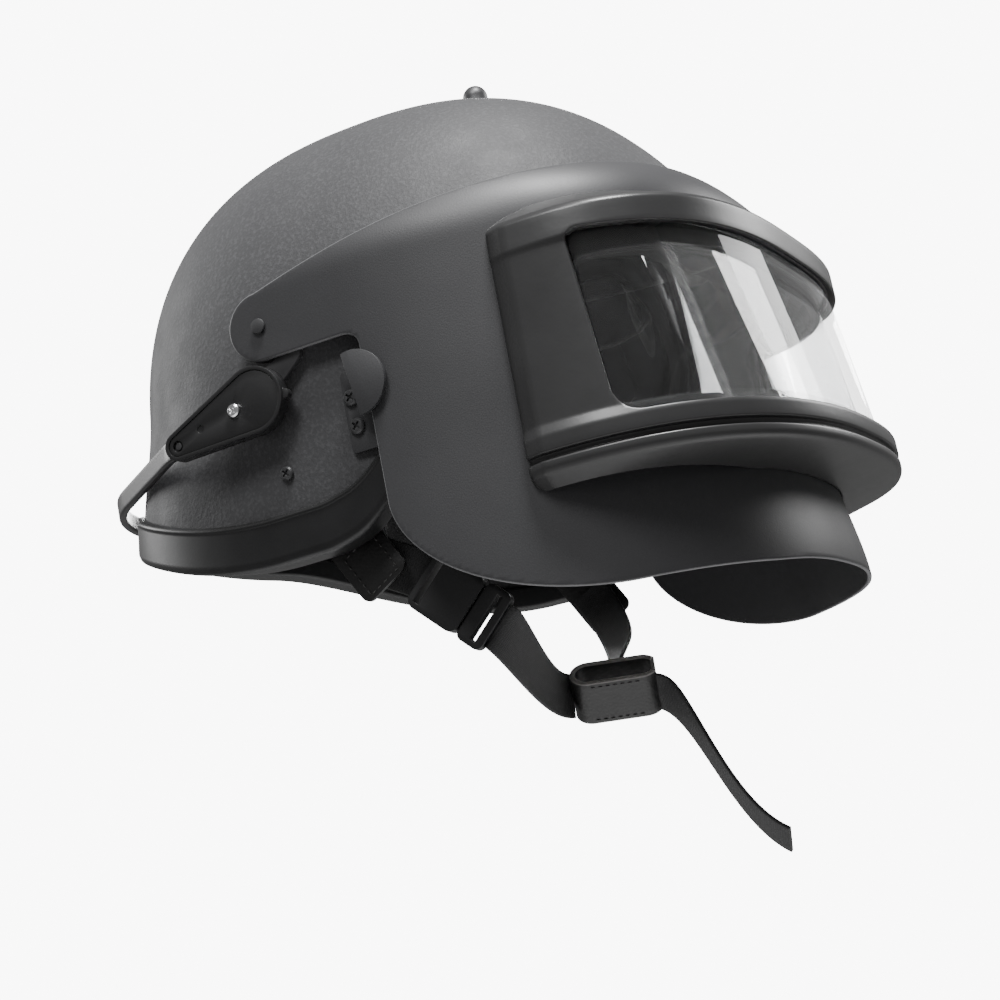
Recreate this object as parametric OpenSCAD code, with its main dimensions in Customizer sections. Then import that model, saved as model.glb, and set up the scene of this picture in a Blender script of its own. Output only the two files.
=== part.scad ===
// Closed-visor ballistic helmet. Millimetres, front towards -Y, +Z up, the wearer's right at -X.
// The origin is where the underside of the crown pad meets the head.
// Heights inside the modules are measured from the widest level of the bowl; seated() brings them to the origin.

/* [Shell] */
// Half width of the bowl outside, at its widest level
bowl_half_w = 128; // [120:1:136]
// Half length of the bowl outside, at its widest level
bowl_half_l = 138; // [130:1:146]
// Height of the crown outside, above the widest level
bowl_h = 144; // [136:1:152]
// Squareness of the bowl in plan and in section, 2 is an ellipse
bowl_n = 2.4; // [2.2:0.05:2.6]
// Thickness of the shell
shell_t = 8; // [6:0.5:10]
// Height of the front edge of the shell, over the brow
brow_z = 36; // [30:1:42]
// Height of the edge over the ears
ear_z = -63; // [-68:1:-58]
// Height of the edge at the nape
nape_z = -28; // [-34:1:-24]
// How far the nape flares outwards
nape_flare = 9; // [4:0.5:12]

/* [Edge trim] */
// Height of the trim on the outside of the shell
trim_h = 18; // [12:1:22]
// How far the trim stands out from the shell
trim_out = 3.5; // [2:0.5:5]
// Thickness of the trim under the edge and inside the shell
trim_t = 2.5; // [1.5:0.5:4]

/* [Visor plate] */
// How far the sides of the visor plate stand out from the bowl
plate_off = 7; // [6:0.5:10]
// How far the visor plate stands ahead of the bowl
plate_ahead = 14; // [11:1:20]
// Thickness of the visor plate
plate_t = 2; // [1.5:0.25:2.5]
// Height of the lowest edge of the visor plate
plate_low_z = -105; // [-112:1:-98]
// Where the rear edge of the visor plate stands
plate_rear_y = -21; // [-24:0.5:-20]
// How far the chin skirt flares outwards at the front
skirt_flare = 8; // [2:0.5:10]

/* [Visor pivot] */
// Pivot of the visor, behind the bowl's centre
pivot_y = 22; // [18:0.5:25]
// Pivot of the visor, above the widest level
pivot_z = 32; // [31:0.5:36]
// Radius of the lobes round the pivot
lobe_r = 14.5; // [13:0.5:15]
// Diameter of the pivot pins
pivot_d = 5; // [4:0.5:6]

/* [Window frame] */
// How far the sides of the window frame stand in from those of the visor plate
frame_in = 4; // [2:0.5:5]
// How far the ledge under the window stands ahead of the visor plate
ledge_ahead = 29.5; // [26:0.5:36]
// How far the brow over the window stands ahead of the visor plate
brow_ahead = 14.5; // [11:0.5:19]
// Height of the upper edge of the ledge
ledge_top_z = -44; // [-47:1:-40]
// Height of the front band of the ledge
ledge_h = 16; // [12:1:18]
// Height of the lower edge of the brow
brow_low_z = 30; // [26:1:32]
// Height of the front band of the brow
brow_h = 13; // [10:1:14]
// Thickness of the walls of the window frame
frame_t = 4.5; // [3.5:0.5:5.5]
// How far the pillars of the window frame run back from the front of the visor plate
pillar_run = 73; // [68:1:78]

/* [Window] */
// Thickness of the window
lens_t = 6; // [4:0.5:8]
// Width of the gasket and the retainer that hold the window
retainer_w = 11; // [8:1:13]

/* [Latch levers] */
// Pivot screw of the latch levers, behind the bowl's centre
lever_y = 38; // [36:0.5:42]
// Pivot screw of the latch levers, above the widest level
lever_z = 0; // [-2:0.5:1]
// Radius of the big end of a lever
lever_big_r = 14; // [12.5:0.5:14.5]
// Radius of the narrow end of a lever
lever_small_r = 6; // [5.5:0.5:7]
// Thickness of a lever
lever_t = 6; // [6:0.5:8]
// How far the bail stands behind the bowl
bail_off = 26.5; // [24:0.5:34]
// Height of the bail's flat bar
bail_h = 9; // [7:0.5:10]
// Thickness of the bail's flat bar
bail_t = 3.5; // [2.5:0.5:3.5]

/* [Liner] */
// Thickness of the crown pad
crown_pad_t = 20; // [14:1:24]
// Thickness of the other pads
pad_t = 14; // [10:1:17]

/* [Straps] */
// Width of the webbing
web_w = 20; // [18:0.5:22]
// Thickness of the webbing
web_t = 1.6; // [1.2:0.2:2]
// Length of the free tail of the chin strap, along its curve
tail_len = 92; // [60:1:105]

/* [Hidden] */
$fn = 48;
// Running clearance between moving faces
gap = 0.3;
// Running clearance round a pin
fit = 0.08;
// Play between pieces that are only laid on each other
seat = 0.1;
// Play between the pads and the shell, whose inside is made of flats
pad_gap = 1;
// Reach of a cut past the faces it goes through
over = 1;
columns = 90;
bowl_rows = 15;
// The underside of the crown pad is the origin
origin_z = bowl_h - shell_t - crown_pad_t;

// Angles from the front at which the edge of the shell leaves the brow and the ears
temple_a = 93;
temple_span = 36;
nape_a = 99;
nape_span = 64;
flare_top_z = 28;
flare_span = 60;

// The plate leans inwards above this height, with this height of vault
plate_lean_z = 44;
plate_vault = 54;
plate_n = 2.5;
plate_half_w = bowl_half_w + plate_off;
plate_in_x = plate_half_w - plate_t;
// How far the plate reaches in front of the bowl's centre
plate_reach = bowl_half_l + plate_ahead;
plate_top_z = 52;
// The rear lower corner of the plate is a quarter of a superellipse
corner_y = 45 - plate_reach;
corner_z = -54;
corner_n = 1.85;

// Layers beside the shell, from the shell outwards
boss_x = bowl_half_w - 1;
disc_t = plate_in_x - gap - boss_x - 2.7;
disc_x = plate_in_x - seat - disc_t;
lever_x = plate_in_x;

// Window frame
ledge_low_z = ledge_top_z - ledge_h;
brow_top_z = brow_low_z + brow_h;
frame_half_w = plate_half_w - frame_in;
ledge_reach = plate_reach + ledge_ahead;
brow_reach = plate_reach + brow_ahead;
pillar_y = pillar_run - plate_reach;
frame_y0 = pillar_y - 8;
frame_low_z = ledge_low_z - 5;
frame_high_z = brow_top_z + 7;
// The window's rear edge leans forward downwards and is rounded at both ends
window_top_y = 39.5 - plate_reach;
window_low_y = 34 - plate_reach;
window_corner_r = 12;
window_top_r = 5;
// The rebate that takes the edge of the window
rebate = 4;
plate_window_w = 2 * plate_half_w - 54;
frame_screw_x = 30;
frame_screw_z = [-53, 40];

// Latch levers
lever_big_y = lever_y - 9;
lever_big_z = lever_z + 2;
lever_small_y = lever_y + 29;
lever_small_z = lever_z - 7;
cover_inset = 1.6;
cover_t = 1.4;
cover_x = lever_x + lever_t - cover_t - 0.4;
lever_screw_d = 4;
boss_d = 16;
shank_d = 9;
bail_y0 = lever_small_y - 4;
bail_x = (lever_x + cover_x) / 2;
bail_reach = bowl_half_l + bail_off;

// Keepers and small screws
keeper_y = plate_rear_y + 3.5;
keeper_z = -4;
keeper_r = 13.5;
keeper_t = 2;
keeper_x = bowl_half_w + gap;
keeper_disc_x = plate_half_w + 0.6;
keeper_screws_at = [[keeper_y + 6, keeper_z - 3.5], [keeper_y + 5.5, keeper_z - 15.5]];
strap_screw_at = [24.5, ear_z + 34];
screw_d = 4;
screw_head_d = 6.6;
screw_head_t = 2;
stud_y = -35;
stud_d = 11.5;
stud_h = 16;
stud_shank_d = 5;
washer_r = 6.5;
crown_pad_r = 42;
crown_pad_y = 17;

function smooth(u) = let (c = min(1, max(0, u))) c * c * (3 - 2 * c);
function spow(v, p) = sign(v) * pow(abs(v), p);
function folded(a) = abs(a) > 180 ? 360 - abs(a) : abs(a);
function mix(a, b, u) = a + (b - a) * u;
function unit(v) = v / norm(v);
function bezier(p, u) =
    p[0] * pow(1 - u, 3) + p[1] * 3 * u * pow(1 - u, 2) + p[2] * 3 * u * u * (1 - u) + p[3] * pow(u, 3);
function bezier_way(p, u) =
    unit((p[1] - p[0]) * pow(1 - u, 2) + (p[2] - p[1]) * 2 * u * (1 - u) + (p[3] - p[2]) * u * u);
function centre(ring) = [for (k = [0:2]) let (c = [for (p = ring) p[k]]) (min(c) + max(c)) / 2];

// The bowl: a superellipse in plan and in section, flared at the nape.
// a is the angle from the front, z the height and d the offset outwards.
function bowl_scale(z, d) = z <= 0 ? 1 : pow(max(0, 1 - pow(z / (bowl_h + d), bowl_n)), 1 / bowl_n);
function bowl_flare(a, z) = nape_flare * smooth((folded(a) - 90) / 50) * smooth((flare_top_z - z) / flare_span);
function bowl_point(a, z, d) =
    let (s = bowl_scale(z, d), f = bowl_flare(a, z))
    [(bowl_half_w + d + f) * s * spow(sin(a), 2 / bowl_n), -(bowl_half_l + d + f) * s * spow(cos(a), 2 / bowl_n), z];
function bowl_x(y, z, d) =
    bowl_point(acos(-spow(y / ((bowl_half_l + d) * bowl_scale(z, d)), bowl_n / 2)), z, d)[0];
// The innermost place of the shell's inside under a round piece of radius r
function inner_x(y, z, r) = min([for (i = [-1:1], j = [-1:1]) bowl_x(y + i * r, z + j * r, -shell_t)]) - 0.25;
function rim_z(a) =
    ear_z + (brow_z - ear_z) * smooth((temple_a - folded(a)) / temple_span)
    + (nape_z - ear_z) * smooth((folded(a) - nape_a) / nape_span);
// Share of the way from the widest level to the crown, negative below it
function share_of(z) = z < 0 ? z / bowl_h : asin(pow(z / bowl_h, bowl_n / 2)) / 90;
function share_z(q, d) = q < 0 ? q * bowl_h : (bowl_h + d) * pow(sin(90 * q), 2 / bowl_n);
// Row i of the shell: the lowest rows keep step with the edge trim, the others close in on the crown
trim_rows = 4;
function row_z(a, i, d) =
    i <= trim_rows ? rim_z(a) + trim_h * i / trim_rows :
    share_z(mix(share_of(rim_z(a) + trim_h), 1, (i - trim_rows) / (bowl_rows - trim_rows)), d);
function bowl_ring(i, d) = [for (j = [0:columns - 1]) let (a = 360 * j / columns) bowl_point(a, row_z(a, i, d), d)];

// The visor plate's sheet: u is the angle from the front, and past 90 it runs straight back in millimetres
function plate_scale(z, d) =
    z <= plate_lean_z ? 1 : pow(max(0, 1 - pow((z - plate_lean_z) / (plate_vault + d), bowl_n)), 1 / bowl_n);
function plate_point(u, z, d) =
    let (a = min(abs(u), 90), s = plate_scale(z, d), f = skirt_flare * smooth((-45 - z) / 60) * cos(a))
    [sign(u) * (plate_half_w + d) * s * pow(sin(a), 2 / plate_n),
     -(plate_reach + d + f) * s * pow(cos(a), 2 / plate_n) + max(0, abs(u) - 90), z];
function plate_top(y) = plate_top_z - 0.235 * y - 0.0006 * y * y;

// The window frame's outside, level by level: height, half width, reach and squareness
frame_levels = [
    [frame_low_z, frame_half_w - 7, plate_reach - 2, 2.6],
    [ledge_low_z, frame_half_w - 1, ledge_reach - 1, 2.45],
    [ledge_low_z + 2, frame_half_w, ledge_reach, 2.45],
    [ledge_top_z - 1.5, frame_half_w, ledge_reach, 2.45],
    [ledge_top_z, frame_half_w - 0.5, ledge_reach - 1, 2.45],
    [ledge_top_z + 3, frame_half_w - 1.5, ledge_reach - 5, 2.5],
    [brow_low_z - 2, frame_half_w - 2.5, brow_reach - 2.5, 2.8],
    [brow_low_z, frame_half_w - 2, brow_reach, 2.85],
    [brow_top_z - 2, frame_half_w - 3, brow_reach, 2.85],
    [brow_top_z, frame_half_w - 4.5, brow_reach - 2, 2.85],
    [frame_high_z, frame_half_w - 15, plate_reach - 6, 2.8]];
function frame_point(u, level, d) =
    [sign(u) * (level[1] + d) * pow(sin(min(abs(u), 90)), 2 / level[3]),
     frame_y0 - (level[2] + frame_y0 + d) * pow(cos(min(abs(u), 90)), 2 / level[3]), level[0]];
// The slanted surface that the window lies on
function lens_level(z) =
    let (v = (z - ledge_top_z) / (brow_low_z - ledge_top_z))
    [z, frame_half_w - 1.2 - 0.8 * v, mix(ledge_reach - 1.5, brow_reach + 1.5, v), mix(2.5, 2.85, v)];

// A closed solid from a list of equal rings, with a point at each end
module skin(rings, first, last) {
    m = len(rings[0]);
    n = len(rings);
    points = concat([for (r = rings) each r], [first, last]);
    polyhedron(points, concat(
        [for (j = [0:m - 1]) [n * m, j, (j + 1) % m]],
        [for (i = [0:n - 2], j = [0:m - 1]) let (k = (j + 1) % m) each
            [[i * m + j, (i + 1) * m + j, i * m + k], [i * m + k, (i + 1) * m + j, (i + 1) * m + k]]],
        [for (j = [0:m - 1]) [n * m + 1, (n - 1) * m + (j + 1) % m, (n - 1) * m + j]]), convexity = 10);
}

// A closed solid from a loop of equal rings
module loop_skin(rings) {
    m = len(rings[0]);
    n = len(rings);
    polyhedron([for (r = rings) each r],
        [for (i = [0:n - 1], j = [0:m - 1]) let (k = (j + 1) % m, o = (i + 1) % n) each
            [[i * m + j, o * m + j, i * m + k], [i * m + k, o * m + j, o * m + k]]], convexity = 10);
}

module capped(rings) {
    skin(rings, centre(rings[0]), centre(rings[len(rings) - 1]));
}

// A closed solid from rings that are thin bands: the first half of a ring is the outside, the second the inside
module band(rings) {
    m = len(rings[0]);
    n = len(rings);
    l = (n - 1) * m;
    polyhedron([for (r = rings) each r], concat(
        [for (j = [0:m / 2 - 2]) each [[j, j + 1, m - 2 - j], [j, m - 2 - j, m - 1 - j]]],
        [for (i = [0:n - 2], j = [0:m - 1]) let (k = (j + 1) % m) each
            [[i * m + j, (i + 1) * m + j, i * m + k], [i * m + k, (i + 1) * m + j, (i + 1) * m + k]]],
        [for (j = [0:m / 2 - 2]) each [[l + j, l + m - 2 - j, l + j + 1], [l + j, l + m - 1 - j, l + m - 2 - j]]]),
        convexity = 10);
}

module seated() {
    translate([0, 0, -origin_z]) children();
}

// side is 1 for the wearer's left and -1 for the right
module on_side(side) {
    mirror([side < 0 ? 1 : 0, 0, 0]) children();
}

// A cylinder along X from x0 to x1
module rod_x(x0, x1, y, z, d) {
    translate([x0, y, z]) rotate([0, 90, 0]) cylinder(h = x1 - x0, d = d);
}

// An outline in Y and Z, extruded along X from x0 to x1
module side_plate(x0, x1) {
    translate([x0, 0, 0]) rotate([90, 0, 90]) linear_extrude(x1 - x0) children();
}

// Two circles joined by their outer tangents
module teardrop(c1, r1, c2, r2) {
    v = c2 - c1;
    l = norm(v);
    a = atan2(v[1], v[0]);
    b = acos((r1 - r2) / l);
    translate(c1) circle(r1);
    translate(c2) circle(r2);
    polygon([c1 + r1 * [cos(a + b), sin(a + b)], c1 + r1 * [cos(a - b), sin(a - b)],
        c2 + r2 * [cos(a - b), sin(a - b)], c2 + r2 * [cos(a + b), sin(a + b)]]);
}

module rounded_box_2d(w, h, r) {
    square([w - 2 * r, h], center = true);
    square([w, h - 2 * r], center = true);
    for (x = [-1, 1], y = [-1, 1]) translate([x * (w / 2 - r), y * (h / 2 - r)]) circle(r);
}

// A pan head screw along X: the shank runs inwards from the seat at x
module pan_screw(x, length, d, head_d, head_t) {
    difference() {
        union() {
            translate([x - length, 0, 0]) rotate([0, 90, 0]) cylinder(h = length + 0.5, d = d);
            translate([x, 0, 0]) rotate([0, 90, 0]) cylinder(h = head_t * 0.6, d = head_d);
            translate([x + head_t * 0.6, 0, 0]) rotate([0, 90, 0])
                cylinder(h = head_t * 0.4, d1 = head_d, d2 = head_d * 0.8, $fn = 48);
        }
        for (a = [45, -45])
            translate([x + head_t * 0.45, 0, 0]) rotate([a, 0, 0])
                translate([0, -head_d * 0.3, -head_d * 0.07]) cube([head_t, head_d * 0.6, head_d * 0.14]);
    }
}

module hex_nut(x0, x1, y, z, flats, bore) {
    difference() {
        translate([x0, y, z]) rotate([0, 90, 0]) cylinder(h = x1 - x0, d = flats / cos(30), $fn = 6);
        rod_x(x0 - over, x1 + over, y, z, bore);
    }
}

// A pad on the inside of the shell: a block between two angles and two heights
function pad_ring(a, z0, z1, d0, d1, crown) =
    concat([for (i = [0:4]) bowl_point(a, mix(z0, z1, i / 4), mix(d0, d0 - crown, abs(i - 2) / 2 * abs(i - 2) / 2))],
        [for (i = [4:-1:0]) bowl_point(a, mix(z0, z1, i / 4), mix(d1, d1 + crown, abs(i - 2) / 2 * abs(i - 2) / 2))]);
module wall_pad(a0, a1, z0, z1, t) {
    d0 = -shell_t - pad_gap;
    d1 = d0 - t;
    steps = 12;
    ends = [for (i = [0:steps]) let (e = abs(2 * i / steps - 1)) 1.5 * pow(e, 4)];
    capped([for (i = [steps:-1:0])
        pad_ring(mix(a0, a1, i / steps), z0 + ends[i] * 3, z1 - ends[i] * 3, d0, d1 + ends[i], 1.5)]);
}

module shell() {
    color([0.27, 0.27, 0.28]) seated() difference() {
        skin(concat([for (i = [bowl_rows - 1:-1:0]) bowl_ring(i, -shell_t)], [for (i = [0:bowl_rows - 1]) bowl_ring(i, 0)]),
            [0, 0, bowl_h - shell_t], [0, 0, bowl_h]);
        rod_x(-200, 200, pivot_y, pivot_z, shank_d + 2 * seat);
        rod_x(-200, 200, lever_y, lever_z, shank_d + 2 * seat);
        for (p = keeper_screws_at) rod_x(-200, 200, p[0], p[1], screw_d + 2 * seat);
        rod_x(-200, 200, strap_screw_at[0], strap_screw_at[1], screw_d + 2 * seat);
        translate([0, stud_y, 0]) cylinder(h = 200, d = stud_shank_d + 2 * seat);
    }
}

// The trim's section: [offset from the shell's outside, height from the shell's edge]
function trim_section() =
    let (i = -shell_t)
    [[seat, trim_h], [trim_out - 1, trim_h], [trim_out, trim_h - 1.5], [trim_out, 1], [trim_out - 1, -trim_t + 0.7],
     [trim_out - 2.5, -trim_t], [i + 1 - trim_t, -trim_t], [i - trim_t, -trim_t + 1], [i - trim_t, trim_h / 2 - 1],
     [i + 1 - trim_t, trim_h / 2], [i - seat, trim_h / 2], [i - seat, trim_h / 4], [i - seat, 0], [i - seat, -seat],
     [seat, -seat], [seat, 0], [seat, trim_h / 4], [seat, trim_h / 2], [seat, trim_h * 3 / 4]];
module rim_trim() {
    color([0.12, 0.12, 0.13]) seated()
        loop_skin([for (j = [0:columns - 1])
            let (a = 360 * j / columns, z = rim_z(a))
            [for (p = trim_section()) bowl_point(a, z + p[1], p[0])]]);
}

module crown_stud() {
    z = bowl_h * pow(1 - pow(abs(stud_y) / bowl_half_l, bowl_n), 1 / bowl_n);
    color([0.4, 0.4, 0.41]) seated() translate([0, stud_y, z]) {
        translate([0, 0, -shell_t - 6]) cylinder(h = shell_t + 8, d = stud_shank_d);
        translate([0, 0, 1.4]) cylinder(h = 2, d = stud_d + 5);
        translate([0, 0, 1.4]) cylinder(h = stud_h - 1.4 - stud_d / 2, d = stud_d);
        translate([0, 0, stud_h - stud_d / 2]) sphere(d = stud_d);
    }
}

// Height of the inside of the crown at the distance r from its middle
function crown_z(r) = (bowl_h - shell_t) * pow(1 - pow(r / (bowl_half_l - shell_t), bowl_n), 1 / bowl_n);
module crown_nut() {
    color([0.55, 0.55, 0.57]) seated() translate([0, stud_y, crown_z(abs(stud_y) + washer_r) - gap - 4.6]) difference() {
        union() {
            cylinder(h = 3.6, d = 8 / cos(30), $fn = 6);
            translate([0, 0, 3.6]) cylinder(h = 1, d = 2 * washer_r);
        }
        translate([0, 0, -over]) cylinder(h = 8, d = stud_shank_d + 2 * seat);
    }
}

// Soft round pad between the crown and the head, domed like the inside of the shell
module crown_pad() {
    color([0.1, 0.1, 0.1]) seated() translate([0, crown_pad_y, origin_z]) rotate_extrude()
        polygon(concat([[0, 0], [crown_pad_r - 5, 0], [crown_pad_r, 5]],
            [for (i = [8:-1:0]) let (r = crown_pad_r * i / 8) [r, crown_z(r + crown_pad_y) - 2 * gap - origin_z]]));
}

module front_pad() {
    color([0.1, 0.1, 0.1]) seated() wall_pad(-38, 38, brow_z + 12, brow_z + 48, pad_t);
}

module rear_pad() {
    color([0.1, 0.1, 0.1]) seated() wall_pad(142, 218, nape_z + 20, nape_z + 80, pad_t);
}

module side_pad(side) {
    color([0.1, 0.1, 0.1]) seated() on_side(side) wall_pad(62, 118, pivot_z + 14, pivot_z + 52, pad_t);
}
module side_pad_right() { side_pad(-1); }
module side_pad_left() { side_pad(1); }

module ear_pad(side) {
    color([0.13, 0.13, 0.13]) seated() on_side(side) wall_pad(112, 136, ear_z + 29, ear_z + 77, pad_t - 2);
}
module ear_pad_right() { ear_pad(-1); }
module ear_pad_left() { ear_pad(1); }

// Flanged bush: the shank sits in the shell and the flange carries the pivot
module bush(x1, flange_t, y, z, d, bore) {
    difference() {
        union() {
            rod_x(inner_x(y, z, washer_r) + seat, x1, y, z, shank_d);
            rod_x(x1 - flange_t, x1, y, z, d);
        }
        rod_x(0, x1 + over, y, z, bore);
    }
}

module pivot_bush(side) {
    color([0.5, 0.5, 0.52]) seated() on_side(side)
        bush(disc_x - gap, disc_x - gap - boss_x, pivot_y, pivot_z, boss_d, pivot_d + 2 * seat);
}
module pivot_bush_right() { pivot_bush(-1); }
module pivot_bush_left() { pivot_bush(1); }

module pivot_pin(side) {
    color([0.3, 0.3, 0.31]) seated() on_side(side) {
        rod_x(inner_x(pivot_y, pivot_z, washer_r) - 6, plate_half_w + gap + 0.2, pivot_y, pivot_z, pivot_d);
        rod_x(plate_half_w + gap, plate_half_w + gap + 1.2, pivot_y, pivot_z, pivot_d + 1.2);
    }
}
module pivot_pin_right() { pivot_pin(-1); }
module pivot_pin_left() { pivot_pin(1); }

// Nut with a washer face against the inside of the shell
module flange_nut(y, z, flats, bore) {
    x = inner_x(y, z, washer_r);
    difference() {
        union() {
            translate([x - 5, y, z]) rotate([0, 90, 0]) cylinder(h = 4, d = flats / cos(30), $fn = 6);
            rod_x(x - 1.2, x, y, z, 2 * washer_r);
        }
        rod_x(x - 6, x + over, y, z, bore);
    }
}

module pivot_nuts() {
    color([0.55, 0.55, 0.57]) seated() for (side = [-1, 1]) on_side(side)
        flange_nut(pivot_y, pivot_z, 8, pivot_d);
}

// Bracket on the shell whose proud half disc holds the rear edge of the visor plate
module keeper(side) {
    color([0.2, 0.2, 0.21]) seated() on_side(side) difference() {
        union() {
            side_plate(keeper_x, keeper_x + keeper_t)
                translate([keeper_y + 3, keeper_z - 9]) rounded_box_2d(14, 34, 2.5);
            side_plate(keeper_disc_x, keeper_disc_x + keeper_t)
                translate([keeper_y, keeper_z]) rotate(-9) intersection() {
                    circle(keeper_r);
                    translate([-2 * keeper_r + 2, -keeper_r]) square([2 * keeper_r, 2 * keeper_r]);
                }
            side_plate(keeper_x, keeper_disc_x + keeper_t)
                translate([keeper_y, keeper_z]) rotate(-9) translate([0, 2 - keeper_r]) square([2, 2 * keeper_r - 4]);
        }
        for (p = keeper_screws_at) rod_x(keeper_x - over, keeper_x + keeper_t + over, p[0], p[1], screw_d + 2 * seat);
    }
}
module keeper_right() { keeper(-1); }
module keeper_left() { keeper(1); }

module keeper_screws() {
    color([0.14, 0.14, 0.15]) seated() for (side = [-1, 1], p = keeper_screws_at) on_side(side)
        translate([0, p[0], p[1]]) pan_screw(keeper_x + keeper_t, keeper_t + shell_t + 5, screw_d, screw_head_d, screw_head_t);
}

module keeper_nuts() {
    color([0.55, 0.55, 0.57]) seated() for (side = [-1, 1], p = keeper_screws_at) on_side(side)
        let (x = inner_x(p[0], p[1], 3.5)) hex_nut(x - 3, x, p[0], p[1], 6, screw_d);
}

module lever_boss(side) {
    color([0.2, 0.2, 0.21]) seated() on_side(side) difference() {
        bush(disc_x - gap, disc_x - gap - boss_x, lever_y, lever_z, boss_d, lever_screw_d + 2 * seat);
        // Pocket for the return spring
        difference() {
            rod_x(disc_x - gap - 1.8, disc_x, lever_y, lever_z, 13);
            rod_x(disc_x - gap - 3, disc_x + over, lever_y, lever_z, 7);
        }
    }
}
module lever_boss_right() { lever_boss(-1); }
module lever_boss_left() { lever_boss(1); }

module lever_spring(side) {
    color([0.6, 0.6, 0.62]) seated() on_side(side) difference() {
        rod_x(disc_x - gap - 1.5, disc_x - gap - 0.1, lever_y, lever_z, 12);
        rod_x(disc_x - 4, disc_x + over, lever_y, lever_z, 8.4);
    }
}
module lever_spring_right() { lever_spring(-1); }
module lever_spring_left() { lever_spring(1); }

module lever_screws() {
    x = lever_x + lever_t - 0.3;
    length = x - inner_x(lever_y, lever_z, washer_r) + 6;
    color([0.8, 0.8, 0.82]) seated() for (side = [-1, 1]) on_side(side)
        translate([0, lever_y, lever_z]) pan_screw(x, length, lever_screw_d, 5.6, 1.6);
}

module lever_nuts() {
    color([0.55, 0.55, 0.57]) seated() for (side = [-1, 1]) on_side(side)
        flange_nut(lever_y, lever_z, 7, lever_screw_d);
}

module lever_outline(inset) {
    teardrop([lever_big_y, lever_big_z], lever_big_r - inset, [lever_small_y, lever_small_z], lever_small_r - inset);
}

module lever_housing(side) {
    color([0.16, 0.16, 0.17]) seated() on_side(side) difference() {
        union() {
            side_plate(lever_x, lever_x + lever_t) lever_outline(0);
            // Finger nib at the front of the big end
            side_plate(lever_x + 1, lever_x + lever_t - 2)
                translate([lever_big_y - lever_big_r, lever_big_z - 1]) circle(2.2, $fn = 24);
        }
        side_plate(cover_x, lever_x + lever_t + over) lever_outline(cover_inset);
        rod_x(lever_x - over, lever_x + lever_t + over, lever_y, lever_z, lever_screw_d + 2 * fit);
        // Pocket for the end of the bail
        translate([bail_x - bail_t / 2 - seat, bail_y0 - seat, lever_small_z - bail_h / 2 - seat])
            cube([bail_t + 2 * seat, 30, bail_h + 2 * seat]);
        // Way out for the bend of the bail
        translate([lever_x - over, lever_small_y + 0.5, lever_small_z - bail_h / 2 - seat])
            cube([bail_x - lever_x + over, 30, bail_h + 2 * seat]);
        rod_x(lever_x - over, lever_x + lever_t + over, bail_y0 + 4, lever_small_z, 3);
    }
}
module lever_housing_right() { lever_housing(-1); }
module lever_housing_left() { lever_housing(1); }

module lever_cover(side) {
    color([0.13, 0.13, 0.14]) seated() on_side(side) difference() {
        side_plate(cover_x + seat, lever_x + lever_t - 0.4) difference() {
            lever_outline(cover_inset + 0.2);
            // Room for the rivet of the bail
            translate([bail_y0 + 4, lever_small_z]) circle(2.4);
        }
        rod_x(cover_x - over, lever_x + lever_t + over, lever_y, lever_z, lever_screw_d + 2 * fit);
        // Dimple
        rod_x(lever_x + lever_t - 0.9, lever_x + lever_t + over, lever_y + 17, lever_z - 3, 3.4);
    }
}
module lever_cover_right() { lever_cover(-1); }
module lever_cover_left() { lever_cover(1); }

// Where the line from the lever's pivot touches the latch disc, at the disc's lower front
pawl_v = [pivot_y - lever_y, pivot_z - lever_z];
pawl_a = atan2(pawl_v[1], pawl_v[0]) + asin(lobe_r / norm(pawl_v));
pawl_l = sqrt(norm(pawl_v) * norm(pawl_v) - lobe_r * lobe_r);
pawl_tip = [lever_y, lever_z] + pawl_l * [cos(pawl_a), sin(pawl_a)];
pawl_gap = 0.8;

module latch_pawl(side) {
    hub_r = boss_d / 2;
    shoe_r = 3.5;
    // The shoe's centre stands outside the disc by its own radius and the gap
    out = (pawl_tip - [pivot_y, pivot_z]) / lobe_r;
    tip = pawl_tip + out * (shoe_r + pawl_gap);
    color([0.35, 0.35, 0.36]) seated() on_side(side) difference() {
        side_plate(disc_x, lever_x - seat) teardrop([lever_y, lever_z], hub_r, tip, shoe_r);
        rod_x(disc_x - over, lever_x + over, lever_y, lever_z, lever_screw_d + 2 * fit);
    }
}
module latch_pawl_right() { latch_pawl(-1); }
module latch_pawl_left() { latch_pawl(1); }

module latch_disc(side) {
    color([0.45, 0.45, 0.47]) seated() on_side(side) difference() {
        rod_x(disc_x, plate_in_x - seat, pivot_y, pivot_z, 2 * lobe_r);
        rod_x(disc_x - over, plate_in_x + over, pivot_y, pivot_z, pivot_d + 2 * fit);
    }
}
module latch_disc_right() { latch_disc(-1); }
module latch_disc_left() { latch_disc(1); }

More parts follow.
